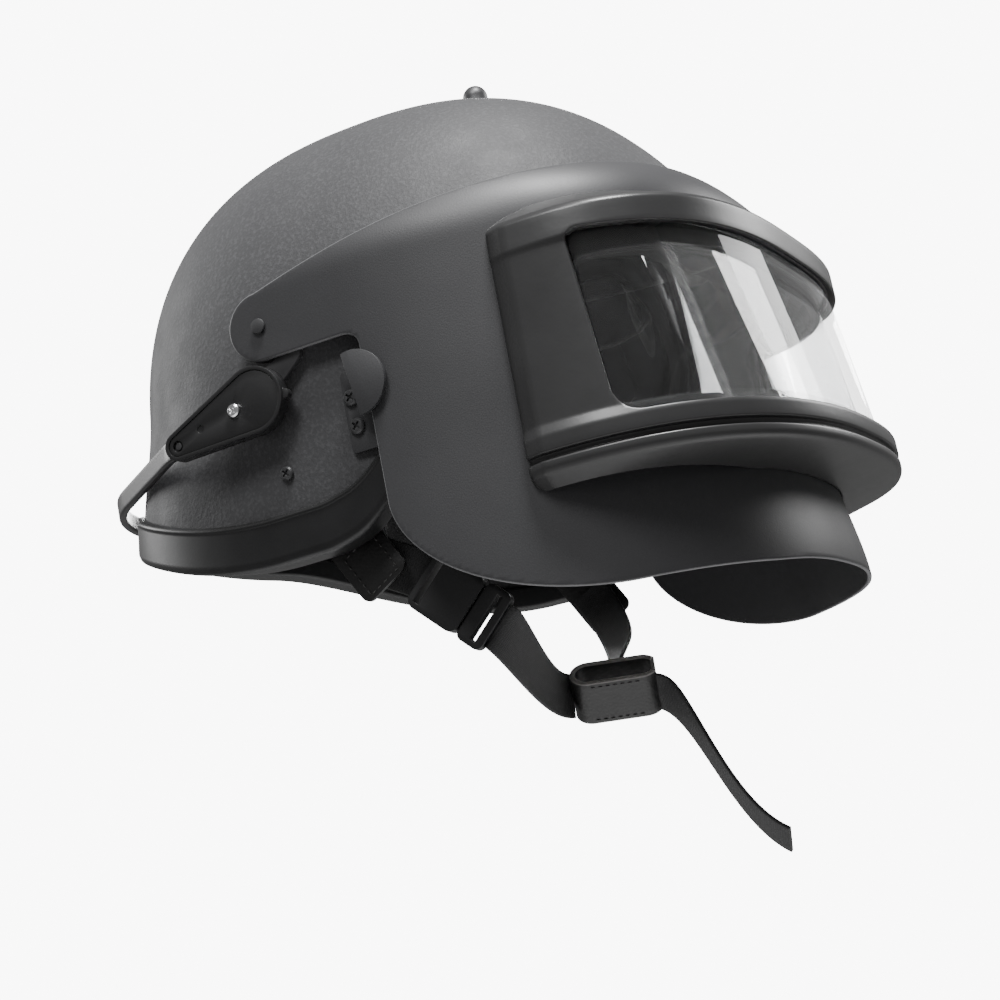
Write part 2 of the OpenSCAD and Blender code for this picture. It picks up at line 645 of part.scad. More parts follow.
// The bail's middle line, from the lever at the right round the nape to the lever at the left:
// straight out of the lever, a bend, a leg that leans inwards and half of the back
bail_bend = [[bail_x, lever_small_y + 1], [bail_x, lever_small_y + 5], [bail_x - 2, lever_small_y + 8],
    [bail_x - 4.6, lever_small_y + 11]];
bail_leg = [0.6875 * bowl_half_w, 0.932 * bowl_half_l];
bail_back = [bail_leg, bail_leg + [-18, 22], [bail_leg[0] - 48, bail_reach - bail_t / 2], [0, bail_reach - bail_t / 2]];
bail_half = concat([[bail_x, bail_y0]], [for (i = [0:5]) bezier(bail_bend, i / 5)], [for (i = [0:13]) bezier(bail_back, i / 13)]);
bail_line = concat([for (p = bail_half) [-p[0], p[1]]], [for (i = [len(bail_half) - 2:-1:0]) bail_half[i]]);
function bail_ring(i) =
    let (l = len(bail_line) - 1, w = unit(bail_line[min(i + 1, l)] - bail_line[max(i - 1, 0)]), n = [-w[1], w[0]],
        t = bail_t / 2, h = bail_h / 2, c = bail_line[i])
    [for (p = [[-t, -h + 1], [-t, h - 1], [-t + 1, h], [t - 1, h], [t, h - 1], [t, -h + 1], [t - 1, -h], [-t + 1, -h]])
        [c[0] + n[0] * p[0], c[1] + n[1] * p[0], lever_small_z + p[1]]];
module bail() {
    color([0.12, 0.12, 0.13]) seated() difference() {
        capped([for (i = [len(bail_line) - 1:-1:0]) bail_ring(i)]);
        rod_x(-200, 200, bail_y0 + 4, lever_small_z, 3);
    }
}

module bail_rivets() {
    color([0.3, 0.3, 0.31]) seated() for (side = [-1, 1]) on_side(side)
        rod_x(lever_x + 0.2, cover_x + 0.9, bail_y0 + 4, lever_small_z, 3);
}

// Screws through the shell that hold the strap tabs
module strap_screws() {
    x = bowl_x(strap_screw_at[0], strap_screw_at[1], 0) + gap;
    color([0.14, 0.14, 0.15]) seated() for (side = [-1, 1]) on_side(side)
        translate([0, strap_screw_at[0], strap_screw_at[1]]) pan_screw(x, shell_t + 8, screw_d, screw_head_d - 0.8, screw_head_t);
}

tab_t = 2;
tab_x = bowl_half_w - shell_t - trim_t - 0.6 - tab_t;
module strap_nuts() {
    color([0.55, 0.55, 0.57]) seated() for (side = [-1, 1]) on_side(side)
        hex_nut(tab_x - 3, tab_x, strap_screw_at[0], strap_screw_at[1], 6, screw_d);
}

// Leather tab that hangs inside the shell from the strap screw
tab_low = [-2, ear_z - 13];
module strap_tab(side) {
    v = tab_low - strap_screw_at;
    color([0.13, 0.13, 0.13]) seated() on_side(side) difference() {
        side_plate(tab_x, tab_x + tab_t) translate((tab_low + strap_screw_at) / 2) rotate(atan2(v[1], v[0]))
            rounded_box_2d(norm(v) + 14, web_w + 4, 4);
        rod_x(tab_x - over, tab_x + tab_t + over, strap_screw_at[0], strap_screw_at[1], screw_d + 0.2);
    }
}
module strap_tab_right() { strap_tab(-1); }
module strap_tab_left() { strap_tab(1); }

// The plate's sheet before it is cut to its outline
plate_us = [-130, for (i = [-16:16]) i * 90 / 16, 130];
plate_zs = [-125, for (i = [0:4]) mix(-110, 20, i / 4), for (i = [0:9]) mix(plate_lean_z, 82, i / 9)];
module plate_band() {
    band([for (z = plate_zs) concat([for (u = plate_us) plate_point(u, z, 0)],
        [for (i = [len(plate_us) - 1:-1:0]) plate_point(plate_us[i], z, -plate_t)])]);
}

module plate_outline() {
    translate([pivot_y, pivot_z]) circle(lobe_r);
    polygon(concat(
        [for (i = [0:16]) let (y = mix(pivot_y, -plate_reach - 28, i / 16)) [y, plate_top(y)]],
        [[-plate_reach - 28, plate_low_z + 6], [2 - plate_reach, plate_low_z + 1.5], [corner_y, plate_low_z]],
        [for (a = [6:6:90]) [corner_y + (plate_rear_y - corner_y) * spow(sin(a), 2 / corner_n),
            corner_z + (plate_low_z - corner_z) * spow(cos(a), 2 / corner_n)]],
        [[plate_rear_y, pivot_z - lobe_r - 6], [plate_rear_y + 2, pivot_z - lobe_r - 2],
         [plate_rear_y + 6, pivot_z - lobe_r], [pivot_y, pivot_z - lobe_r]]));
}

module frame_screw_bores(d) {
    for (x = [-1, 1], z = frame_screw_z)
        translate([x * frame_screw_x, -plate_reach + 20, z]) rotate([90, 0, 0]) cylinder(h = 34, d = d);
}

module visor_plate() {
    color([0.2, 0.2, 0.21]) seated() difference() {
        intersection() {
            plate_band();
            side_plate(-160, 160) plate_outline();
        }
        translate([0, 52 - plate_reach, (ledge_top_z + brow_low_z) / 2]) rotate([90, 0, 0]) linear_extrude(100)
            rounded_box_2d(plate_window_w, brow_low_z - ledge_top_z + 2 * rebate, 12);
        rod_x(-200, 200, pivot_y, pivot_z, pivot_d + 2 * fit);
        frame_screw_bores(screw_d + 2 * seat);
    }
}

// A ring of the frame's surface that closes straight across behind the pillars
function frame_ring(level, d) = concat(
    [[-level[1] - d + 3, pillar_y, level[0]]],
    [for (i = [-16:16]) frame_point(i * 90 / 16, level, d)],
    [[level[1] + d - 3, pillar_y, level[0]]]);
// The same surface between two offsets, k steps round to each side
function band_ring(level, d0, d1, k, step = 90 / 16) = concat(
    [for (i = [-k:k]) frame_point(i * step, level, d0)],
    [for (i = [k:-1:-k]) frame_point(i * step, level, d1)]);

module window_outline() {
    low = [window_low_y - window_corner_r, ledge_top_z + window_corner_r];
    top = [window_top_y - window_top_r, brow_low_z + 2 - window_top_r];
    translate(low) circle(window_corner_r);
    translate(top) circle(window_top_r);
    polygon([[window_top_y, top[1]], [window_low_y, low[1]], low, [low[0], ledge_top_z], [-250, ledge_top_z],
        [-250, brow_low_z], [2 - plate_reach, brow_low_z], [top[0], brow_low_z + 2], top]);
}

// Everything behind the plate's outer face
module behind_plate() {
    capped([for (z = plate_zs) [for (u = plate_us) plate_point(u, z, seat)]]);
}

module window_frame() {
    color([0.1, 0.1, 0.11]) seated() difference() {
        capped([for (l = frame_levels) frame_ring(l, 0)]);
        behind_plate();
        // The space behind the window, open to the back
        capped([for (z = [ledge_top_z - rebate, brow_low_z + rebate]) frame_ring(lens_level(z), -frame_t)]);
        side_plate(-200, 200) window_outline();
        // Groove round the ledge
        band([for (z = [ledge_low_z + 5, ledge_low_z + 8])
            band_ring([z, frame_half_w, ledge_reach, 2.45], 4, -2.5, 16.5, 89 / 16.5)]);
        frame_screw_bores(screw_d);
    }
}

module frame_screws() {
    color([0.55, 0.55, 0.57]) seated() for (x = [-1, 1], z = frame_screw_z)
        translate([x * frame_screw_x, -plate_reach + plate_t + 2.4, z]) rotate([90, 0, 0]) {
            cylinder(h = 16, d = screw_d);
            translate([0, 0, -screw_head_t]) cylinder(h = screw_head_t, d = 7.6);
        }
}

// A closed strip along the window between two offsets, as high as the rebate allows
module lens_strip(d0, d1, low, high, k) {
    band([for (z = [ledge_top_z - low, brow_low_z + high])
        band_ring(lens_level(z), -frame_t - d0, -frame_t - d1, k)]);
}

module window_lens() {
    color([0.75, 0.78, 0.8, 0.35]) seated() lens_strip(seat, lens_t, rebate - gap, rebate - gap, 15);
}

module lens_gasket() {
    d = lens_t + seat;
    color([0.08, 0.08, 0.08]) seated() difference() {
        lens_strip(d, d + 1.5, rebate - gap, rebate - gap, 15);
        lens_strip(d - 1, d + 3, -retainer_w / 2, rebate - retainer_w, 14);
        behind_plate();
    }
}

module lens_retainer() {
    d = lens_t + 2 * seat + 1.5;
    color([0.14, 0.14, 0.15]) seated() difference() {
        lens_strip(d, d + 3, rebate - gap, rebate - gap, 15);
        lens_strip(d - 1, d + 4, -retainer_w / 2, rebate - retainer_w, 14);
        behind_plate();
    }
}

// A flat strap along a curve, its width turning from w0 to w1
module webbing(p, w0, w1, steps) {
    capped([for (i = [0:steps])
        let (u = i / steps, c = bezier(p, u), t = bezier_way(p, u), w = mix(w0, w1, u),
            v = unit(w - t * (w * t)) * web_w / 2, n = unit(cross(t, v)) * web_t / 2)
        [c - v - n, c + v - n, c + v + n, c - v + n]]);
}

// Straps of the left side; the right side mirrors them
// The webbing is sewn to the inner face of the tab
sewn_x = tab_x - 2 * seat - web_t / 2;
sewn_at = [sewn_x, tab_low[0] + 6.5, tab_low[1] + 11.5];
buckle_at = [bowl_half_w - 19.8, -24, ear_z - 24];
buckle_turn = [45, 0, -10];
// The buckle's own length, upwards
buckle_way = [-sin(buckle_turn[2]) * cos(buckle_turn[0]), cos(buckle_turn[2]) * cos(buckle_turn[0]), sin(buckle_turn[0])];
strap_top = buckle_at + buckle_way * (8 + gap);
strap_start = buckle_at - buckle_way * (28.5 + gap);
loop_at = [0, -46, ear_z - 67];
loop_w = 38;
loop_depth = 16;
loop_h = 22;
loop_t = 2.4;
// How the loop hangs: turns about X, then Y, then Z
loop_turn = [43.7, 2.9, -69.4];
function turned(v, a) = let (
    x = [v[0], v[1] * cos(a[0]) - v[2] * sin(a[0]), v[1] * sin(a[0]) + v[2] * cos(a[0])],
    y = [x[0] * cos(a[1]) + x[2] * sin(a[1]), x[1], x[2] * cos(a[1]) - x[0] * sin(a[1])])
    [y[0] * cos(a[2]) - y[1] * sin(a[2]), y[0] * sin(a[2]) + y[1] * cos(a[2]), y[2]];
function in_loop(v) = loop_at + turned(v, loop_turn);
function flipped(v) = [-v[0], v[1], v[2]];

module strap_right() {
    color([0.1, 0.1, 0.1]) seated() on_side(-1)
        webbing([sewn_at, sewn_at + [0, -4, -7], strap_top + buckle_way * 7, strap_top], [0, 0.87, -0.49], [0, 0.7, -0.7], 8);
}

module placed_buckle() {
    translate([-buckle_at[0], buckle_at[1], buckle_at[2]])
        rotate([buckle_turn[0], buckle_turn[1], -buckle_turn[2]]) children();
}

// Local axes of the buckle: Y along the strap, Z across it, X outwards
module buckle_socket() {
    color([0.11, 0.11, 0.12]) seated() placed_buckle() difference() {
        translate([-4, -4, 0]) rotate([0, 90, 0]) linear_extrude(8)
            rounded_box_2d(web_w + 6, 24, 4);
        // Mouth for the plug and windows for its arms
        translate([-2.5, -17, -web_w / 2]) cube([5, 18, web_w]);
        for (z = [-1, 1]) translate([-2.5, -10, z > 0 ? web_w / 2 - 5 : -web_w / 2 - 5]) cube([5, 7, 10]);
        // Slot for the webbing
        translate([-5, 3, -web_w / 2 - 0.3]) cube([10, 2.6, web_w + 0.6]);
    }
}

module buckle_plug() {
    color([0.11, 0.11, 0.12]) seated() placed_buckle() {
        difference() {
            translate([-3, -22.5, 0]) rotate([0, 90, 0]) linear_extrude(6) rounded_box_2d(web_w + 6, 12, 3);
            translate([-5, -25, -web_w / 2 - 0.3]) cube([10, 2.6, web_w + 0.6]);
        }
        // Arms that latch in the windows of the socket
        for (z = [-1, 1]) translate([-2, -17, z > 0 ? web_w / 2 - 3.4 : -web_w / 2 + 0.4]) cube([4, 12, 3]);
        for (z = [-1, 1]) translate([-2, -9.5, z > 0 ? web_w / 2 - 2 : -web_w / 2 - 1]) cube([4, 5.5, 3]);
        translate([-2, -17, -1.5]) cube([4, 14, 3]);
    }
}

module chin_strap() {
    color([0.1, 0.1, 0.1]) seated() on_side(-1)
        webbing([strap_start, strap_start - buckle_way * 11, flipped(in_loop([-loop_w / 2 - 12, 0, 0])),
            flipped(in_loop([-loop_w / 2 - gap, 0, 0]))], [0.05, 0.7, -0.7], flipped(turned([0, -0.78, -0.62], loop_turn)), 16);
}

module strap_left() {
    color([0.1, 0.1, 0.1]) seated()
        webbing([sewn_at, [sewn_x, -15, ear_z - 39], in_loop([0, loop_depth / 2 + 16, -1]),
            in_loop([0, loop_depth / 2 + gap, -1])], [0, 0.87, -0.49], turned([-0.34, 0, -0.94], loop_turn), 20);
}

// Leather loop under the chin: a flattened tube, open at its front end
module chin_loop() {
    color([0.13, 0.13, 0.14]) seated() translate(loop_at) rotate(loop_turn) difference() {
        linear_extrude(loop_h, center = true) rounded_box_2d(loop_w, loop_depth, loop_depth / 2 - 0.5);
        linear_extrude(loop_h + 2, center = true)
            rounded_box_2d(loop_w - 2 * loop_t, loop_depth - 2 * loop_t, loop_depth / 2 - loop_t - 0.3);
        // Open at the front end, where the tail comes out
        translate([loop_w / 2 - 6, loop_t - loop_depth / 2, -loop_h / 2 - 1]) cube([10, loop_depth - 2 * loop_t, loop_h + 2]);
    }
}

module strap_tail() {
    color([0.1, 0.1, 0.1]) seated()
        webbing([in_loop([loop_w / 2 - 4, loop_t + web_t / 2 + gap - loop_depth / 2, -1]),
            in_loop([loop_w / 2 + 12, -2, -1]), loop_at + [3, -36, -60],
            loop_at + [3, -36, -6] - [0, 26, 72] * tail_len / 92],
            turned([0, 0, -1], loop_turn), [0.8, 0.15, -0.58], 18);
}

shell();
rim_trim();
crown_stud();
crown_nut();
crown_pad();
front_pad();
rear_pad();
side_pad_right();
side_pad_left();
ear_pad_right();
ear_pad_left();
pivot_bush_right();
pivot_bush_left();
pivot_pin_right();
pivot_pin_left();
pivot_nuts();
keeper_right();
keeper_left();
keeper_screws();
keeper_nuts();
lever_boss_right();
lever_boss_left();
lever_screws();
lever_nuts();
lever_spring_right();
lever_spring_left();
strap_screws();
strap_nuts();
strap_tab_right();
strap_tab_left();
buckle_socket();
buckle_plug();
strap_right();
strap_left();
chin_strap();
chin_loop();
strap_tail();
visor_plate();
window_frame();
window_lens();
lens_gasket();
lens_retainer();
frame_screws();
latch_disc_right();
latch_disc_left();
lever_housing_right();
lever_housing_left();
lever_cover_right();
lever_cover_left();
latch_pawl_right();
latch_pawl_left();
bail();
bail_rivets();
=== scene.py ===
"""Looks of a closed-visor ballistic helmet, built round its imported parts.

Forms are worked out in millimetres from the widest level of the bowl, and metres() brings them to
the frame: X to the wearer's left, -Y ahead and Z up. Angles are in degrees unless said otherwise.
"""

import math

import bmesh
import bpy
import numpy as np
from bpy.props import FloatProperty, FloatVectorProperty, IntProperty, PointerProperty
from mathutils import Matrix, Vector


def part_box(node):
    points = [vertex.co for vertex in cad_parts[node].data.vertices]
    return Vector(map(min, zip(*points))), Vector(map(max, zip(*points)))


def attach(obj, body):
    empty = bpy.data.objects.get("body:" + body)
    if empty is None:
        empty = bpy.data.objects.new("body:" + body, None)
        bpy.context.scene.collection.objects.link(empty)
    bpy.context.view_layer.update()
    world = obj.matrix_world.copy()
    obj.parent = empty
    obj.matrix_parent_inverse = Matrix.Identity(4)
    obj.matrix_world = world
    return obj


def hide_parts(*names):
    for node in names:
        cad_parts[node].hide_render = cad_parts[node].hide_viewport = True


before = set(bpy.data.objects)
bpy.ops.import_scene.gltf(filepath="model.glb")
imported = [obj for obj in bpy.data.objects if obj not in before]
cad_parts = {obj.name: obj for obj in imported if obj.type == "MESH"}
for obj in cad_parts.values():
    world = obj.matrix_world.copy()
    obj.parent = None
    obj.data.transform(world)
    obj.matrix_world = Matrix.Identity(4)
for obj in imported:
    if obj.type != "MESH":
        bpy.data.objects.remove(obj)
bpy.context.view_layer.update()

bl_info = {
    "name": "Visor helmet looks",
    "version": (1, 0, 0),
    "blender": (4, 5, 0),
    "location": "3D View > Sidebar > Helmet",
    "description": "Surfaces, padding, webbing and finishes of a closed-visor ballistic helmet",
    "category": "Object",
}

# Bowl: half axes, exponent, wall, heights of its edge, nape, seat on the head, and trim
BOWL_W, BOWL_L, BOWL_H, BOWL_N = 128.0, 138.0, 144.0, 2.4
SHELL_T = 8.0
BROW_Z, EAR_Z, NAPE_Z = 36.0, -63.0, -28.0
NAPE_FLARE = 9.0
SEAT_Z = 116.0
TRIM_H, TRIM_OUT, TRIM_T = 18.0, 3.5, 2.5
# Visor plate, its pivot lobe and its window opening
PLATE_W, PLATE_REACH, PLATE_T = 135.0, 152.0, 2.0
PLATE_LOW, PLATE_REAR, PLATE_N = -105.0, -21.0, 2.5
LEAN_Z, VAULT, SKIRT_FLARE = 44.0, 54.0, 8.0
PIVOT, LOBE_R = (22.0, 32.0), 14.5
HOLE_Z, HOLE_W, HOLE_H, HOLE_R = -7, 108, 41, 12
# Window frame, window, and the clear view within the gasket
FRAME_W, LEDGE_REACH, BROW_REACH = 131.0, 181.5, 166.5
LEDGE_TOP, LEDGE_LOW, BROW_LOW, BROW_TOP = -44.0, -60.0, 30.0, 43.0
FRAME_Y0, PILLAR_Y, FRAME_T = -87.0, -79.0, 4.5
LEDGE_N, BROW_N = 2.45, 2.85
LENS_T, LENS_LAP = 6.0, 3.7
VIEW_LOW, VIEW_TOP, VIEW_SIDE, VIEW_R = -38.5, 23, 9, 7
# Levers, bail and springs
LEVER_SMALL = (67.0, -7.0)
LEVER_X, LEVER_T = 133.0, 6.0
BAIL_X = (LEVER_X + LEVER_X + LEVER_T - 1.8) / 2
BAIL_REACH, BAIL_H, BAIL_T = 164.5, 9.0, 3.5
SPRING_R, SPRING_WIRE, SPRING_TURNS = 5.4, 0.62, 1.4
# Webbing, tabs, buckle, chin loop and stitches
WEB_W, WEB_T = 20.0, 1.6
TAB_X, TAB_T = BOWL_W - SHELL_T - TRIM_T - 0.6, 2
TAB_AT, TAB_SCREW = np.array([-2.0, EAR_Z - 13]), np.array([24.5, -29.0])
BUCKLE_AT, BUCKLE_YAW, BUCKLE_PITCH = np.array([108.2, -24.0, -87.0]), -10, 45
LOOP_AT, LOOP_TURN = np.array([0, -46.0, -130.0]), (43.7, 2.9, -69.4)
LOOP_W, LOOP_DEPTH, LOOP_H, LOOP_T = 38.0, 16.0, 22.0, 2.4
LOOP_END, LOOP_LIP = 7.5, 38
STITCH_T, STITCH_LIFT, STITCH_FILL = 0.55, 0.28, 0.62
# Pads: voxels and shrinking in metres, gap to the shell in millimetres
PAD_VOXEL, PAD_SHRINK, PAD_GAP = 0.0045, 0.0016, 0.8
# Angle that counts as an edge, and the rounding in metres that the table of hardware is written for
CREASE, PART_ROUND = 32, 0.0006
# Stage in metres and watts: name, place, width and power of each lamp
LAMPS = (("back", (1.6, 0.7, 0.6), 0.8, 45), ("top", (-0.4, -0.7, 1.7), 0.6, 95),
         ("side", (-1.5, -0.2, 1.6), 0.8, 40), ("rear", (0.1, 2.3, 0.9), 1.2, 36),
         ("front", (1.8, -1.3, 0.9), 1.0, 24))
LAMP_AIM, CAMERA_AIM = Vector((0, 0, -0.1)), Vector((0.0094, -0.0043, -0.1482))
SENSOR, FOCAL = 36, 79.2
FLOOR_W, FLOOR_Z, FLOOR_FADE = 3, -1.3, (1.0, 2.8)
# Backdrop: its light on the helmet, and what is added where it is seen, seen through, or mirrored
GLOW, GLOW_SEEN, GLOW_THROUGH, GLOW_MIRRORED = 0.24, 8.8, 8.0, 0.3


# Forms

def metres(points):
    """Millimetres from the widest level of the bowl to metres in the frame."""
    return (np.asarray(points, float) - (0, 0, SEAT_Z)) / 1000


def smooth(u):
    """The cubic step from 0 to 1."""
    c = np.clip(u, 0, 1)
    return c * c * (3 - 2 * c)


def spow(v, p):
    """A power that keeps the sign."""
    return np.sign(v) * np.abs(v) ** p


def sin_d(a):
    return np.sin(np.radians(a))


def cos_d(a):
    return np.cos(np.radians(a))


def folded(a):
    """Angle from the front, 0 to 180 on either side."""
    return np.abs((np.asarray(a, float) + 180) % 360 - 180)


def mix(a, b, u):
    return a + (b - a) * u


def stack(*columns):
    """Columns side by side along a new last axis."""
    return np.stack(np.broadcast_arrays(*columns), -1)


def unit(v):
    """Vectors brought to length one."""
    return v / np.maximum(np.linalg.norm(v, axis=-1, keepdims=True), 1e-12)


def run(path):
    """Distance of each point of a line from its start, along the line."""
    return np.r_[0, np.cumsum(np.linalg.norm(np.diff(path, axis=0), axis=1))]


def mirrored(half):
    """Parameters that rise from 0, with the same ones below 0 before them."""
    return np.r_[-half[:0:-1], half]


def dome(z, h, least=0.0):
    """Scale of a plan at a height: s^n = 1 - (z/h)^n above the widest level and 1 below it."""
    return np.maximum(least, 1 - (np.maximum(z, 0) / h) ** BOWL_N) ** (1 / BOWL_N)


def bowl(a, z, d=0.0):
    """Shell surface: the superellipse (x/w)^n + (y/l)^n = s^n, with s from dome(), each half axis
    grown by the offset d and by the flare of the nape."""
    a, z, d = np.broadcast_arrays(np.asarray(a, float), z, d)
    s = dome(z, BOWL_H + d)
    f = NAPE_FLARE * smooth((folded(a) - 90) / 50) * smooth((28 - z) / 60)
    x = (BOWL_W + d + f) * s * spow(sin_d(a), 2 / BOWL_N)
    return stack(x, -(BOWL_L + d + f) * s * spow(cos_d(a), 2 / BOWL_N), z)


def rim(a):
    """Height of the shell's edge: brow, then down to the ears, then up to the nape, in cubic steps."""
    f = folded(a)
    return EAR_Z + (BROW_Z - EAR_Z) * smooth((93 - f) / 36) + (NAPE_Z - EAR_Z) * smooth((f - 99) / 64)


def skirt(z):
    """How much farther the visor plate reaches at a height, in a cubic step towards its skirt."""
    return SKIRT_FLARE * smooth((-45 - z) / 60)


def plate(u, z, d=0.0):
    """Visor sheet: a superellipse in plan, its reach growing towards the skirt and its scale falling
    towards the crown. u is the angle from the front, and past 90 it runs straight back."""
    u, z, d = np.broadcast_arrays(np.asarray(u, float), z, d)
    a = np.minimum(np.abs(u), 90)
    s = dome(z - LEAN_Z, VAULT + d)
    x = np.sign(u) * (PLATE_W + d) * s * sin_d(a) ** (2 / PLATE_N)
    reach = PLATE_REACH + d + skirt(z) * cos_d(a)
    y = -reach * s * np.maximum(cos_d(a), 0) ** (2 / PLATE_N) + np.maximum(0, np.abs(u) - 90)
    return stack(x, y, z)


def distance_from(value, p):
    """How far points stand outside the surface where value is one: the value less one, over the
    length of its gradient. Also that gradient."""
    h = 0.2
    g = stack(*[(value(p + h * e) - value(p - h * e)) / (2 * h) for e in np.eye(3)])
    return (value(p) - 1) / np.maximum(np.linalg.norm(g, axis=1), 1e-4), g


def outside_plate(p):
    """How far points stand outside the visor sheet."""
    def value(q):
        x, y, z = np.abs(q[:, 0]), np.minimum(q[:, 1], 0), q[:, 2]
        reach = PLATE_REACH + skirt(z) * np.minimum(1, np.abs(y) / PLATE_REACH)
        plan = ((x / PLATE_W) ** PLATE_N + (-y / reach) ** PLATE_N) ** (1 / PLATE_N)
        return plan / dome(z - LEAN_Z, VAULT, 1e-3)
    return distance_from(value, p)[0]


def cavity(q):
    """The shell's inner surface as a value: (x/w)^n + (y/l)^n + (z/h)^n to the power 1/n, one on it."""
    x, y, z = np.abs(q[:, 0]), np.abs(q[:, 1]), np.maximum(q[:, 2], 0)
    return ((x / (BOWL_W - SHELL_T)) ** BOWL_N + (y / (BOWL_L - SHELL_T)) ** BOWL_N
            + (z / (BOWL_H - SHELL_T)) ** BOWL_N) ** (1 / BOWL_N)


def bezier(p, u):
    """Cubic curve through four control points."""
    p, u = np.asarray(p, float), np.asarray(u, float)[:, None]
    return p[0] * (1 - u) ** 3 + 3 * p[1] * u * (1 - u) ** 2 + 3 * p[2] * u * u * (1 - u) + p[3] * u ** 3


def turned(v):
    """A vector on the chin loop's own axes, turned about X, then Y, then Z."""
    x, y, z = (Matrix.Rotation(math.radians(a), 3, k) for a, k in zip(LOOP_TURN, "XYZ"))
    return np.asarray(v, float) @ np.array(z @ y @ x).T


def in_loop(v):
    return LOOP_AT + turned(v)


def rounded_path(corners, reach, steps=4):
    """A line through corners, each replaced by a quadratic curve that starts and ends `reach` away."""
    c = np.asarray(corners, float)
    back, ahead = c[:-2] - c[1:-1], c[2:] - c[1:-1]
    lb, la = (np.linalg.norm(v[:, :2], axis=1, keepdims=True) for v in (back, ahead))
    a = c[1:-1] + back * np.minimum(0.45, reach / lb)
    b = c[1:-1] + ahead * np.minimum(0.45, reach / la)
    u = np.linspace(0, 1, steps)[:, None, None]
    curve = a * (1 - u) ** 2 + 2 * c[1:-1] * u * (1 - u) + b * u * u
    return np.concatenate([c[:1], curve.transpose(1, 0, 2).reshape(-1, c.shape[1]), c[-1:]])


def evenly(points_of, u0, u1, step):
    """Parameters between u0 and u1 whose points lie about `step` apart along the curve."""
    u = np.linspace(u0, u1, 2000)
    s = run(points_of(u))
    return np.interp(np.linspace(0, s[-1], max(4, int(s[-1] / step))), s, u)


def last_held(test, good, bad, steps):
    """Halves the way from good to bad, and returns the last values for which the test held."""
    for _ in range(steps):
        m = (good + bad) / 2
        held = test(m)
        good, bad = np.where(held, m, good), np.where(held, bad, m)
    return good


def inside(outline, y, z):
    """Distance to an outline, positive within it: the nearest point of its sides, with the sign from
    the crossing rule."""
    a = np.asarray(outline, float)
    far, odd = np.full(len(y), 1e9), np.zeros(len(y), bool)
    for (ay, az), (by, bz) in zip(a, np.roll(a, -1, 0)):
        wy, wz = by - ay, bz - az
        t = np.clip(((y - ay) * wy + (z - az) * wz) / max(wy * wy + wz * wz, 1e-12), 0, 1)
        far = np.minimum(far, np.hypot(y - ay - t * wy, z - az - t * wz))
        if az != bz:
            odd ^= ((z < az) != (z < bz)) & (y < ay + (z - az) * wy / wz)
    return np.where(odd, far, -far)


def outside_box(x, z, w, h, r):
    """Distance from a rounded rectangle with half sizes w and h and corners of radius r."""
    x, z = np.abs(x) - (w - r), np.abs(z) - (h - r)
    return np.hypot(np.maximum(x, 0), np.maximum(z, 0)) + np.minimum(np.maximum(x, z), 0) - r


def arc(cy, cz, r, a0, a1, n):
    """Points of a circle's arc."""
    a = np.radians(np.linspace(a0, a1, n))
    return np.stack([cy + r * np.cos(a), cz + r * np.sin(a)], 1)


# Meshes

def put(name, data):
    """A new object in the scene."""
    obj = bpy.data.objects.new(name, data)
    bpy.context.scene.collection.objects.link(obj)
    return obj


def placed(name, mesh, crease, edge=None):
    """A smooth mesh as an object, sharp past an angle, with its points' distances from an edge, which
    finishes read to lighten it: worn paint with a painted highlight on the plate, a paler cut on
    leather."""
    if edge is not None:
        values = np.asarray(edge, np.float32) / 1000
        mesh.attributes.new("edge", "FLOAT", "POINT").data.foreach_set("value", values)
    mesh.shade_smooth()
    mesh.set_sharp_from_angle(angle=math.radians(crease))
    return put(name, mesh)


def outward(points, faces):
    """Arrays of faces, turned round if they enclose a negative volume, the sum of a.(b x c)/6."""
    faces = [np.asarray(f, np.int64) for f in faces if len(f)]
    halves = [f[:, [0, 2, 3]] for f in faces if f.shape[1] == 4]
    tris = np.concatenate([f[:, :3] for f in faces] + halves)
    a, b, c = (points[tris[:, k]] for k in range(3))
    return [f[:, ::-1] for f in faces] if np.einsum("ij,ij->i", a, np.cross(b, c)).sum() < 0 else faces


def piece(name, shape, body, kind, *nodes, slot=None, uv=None, crease=CREASE, edge=None):
    """A new piece from points in bowl millimetres and arrays of faces with three or four corners."""
    p = metres(shape[0])
    faces = outward(p, shape[1])
    mesh = bpy.data.meshes.new(name)
    mesh.vertices.add(len(p))
    mesh.vertices.foreach_set("co", p.ravel())
    corners = np.concatenate([f.ravel() for f in faces])
    counts = np.concatenate([np.full(len(f), f.shape[1]) for f in faces])
    mesh.loops.add(len(corners))
    mesh.loops.foreach_set("vertex_index", corners)
    mesh.polygons.add(len(counts))
    mesh.polygons.foreach_set("loop_start", np.r_[0, np.cumsum(counts)[:-1]])
    mesh.update(calc_edges=True)
    if uv is not None:
        layer = mesh.uv_layers.new(name="along")
        layer.data.foreach_set("uv", np.asarray(uv, float)[corners].ravel() / 1000)
    mesh.validate()
    fit(placed(name, mesh, crease, edge), body, kind, *nodes, slot=slot)


def grid_faces(n, m, wrap=False):
    """Quads between n rings of m points; with wrap the last point of a ring meets its first."""
    i, j = np.meshgrid(np.arange(n - 1), np.arange(m if wrap else m - 1), indexing="ij")
    k = (j + 1) % m
    return np.stack([i * m + j, i * m + k, (i + 1) * m + k, (i + 1) * m + j], -1).reshape(-1, 4)


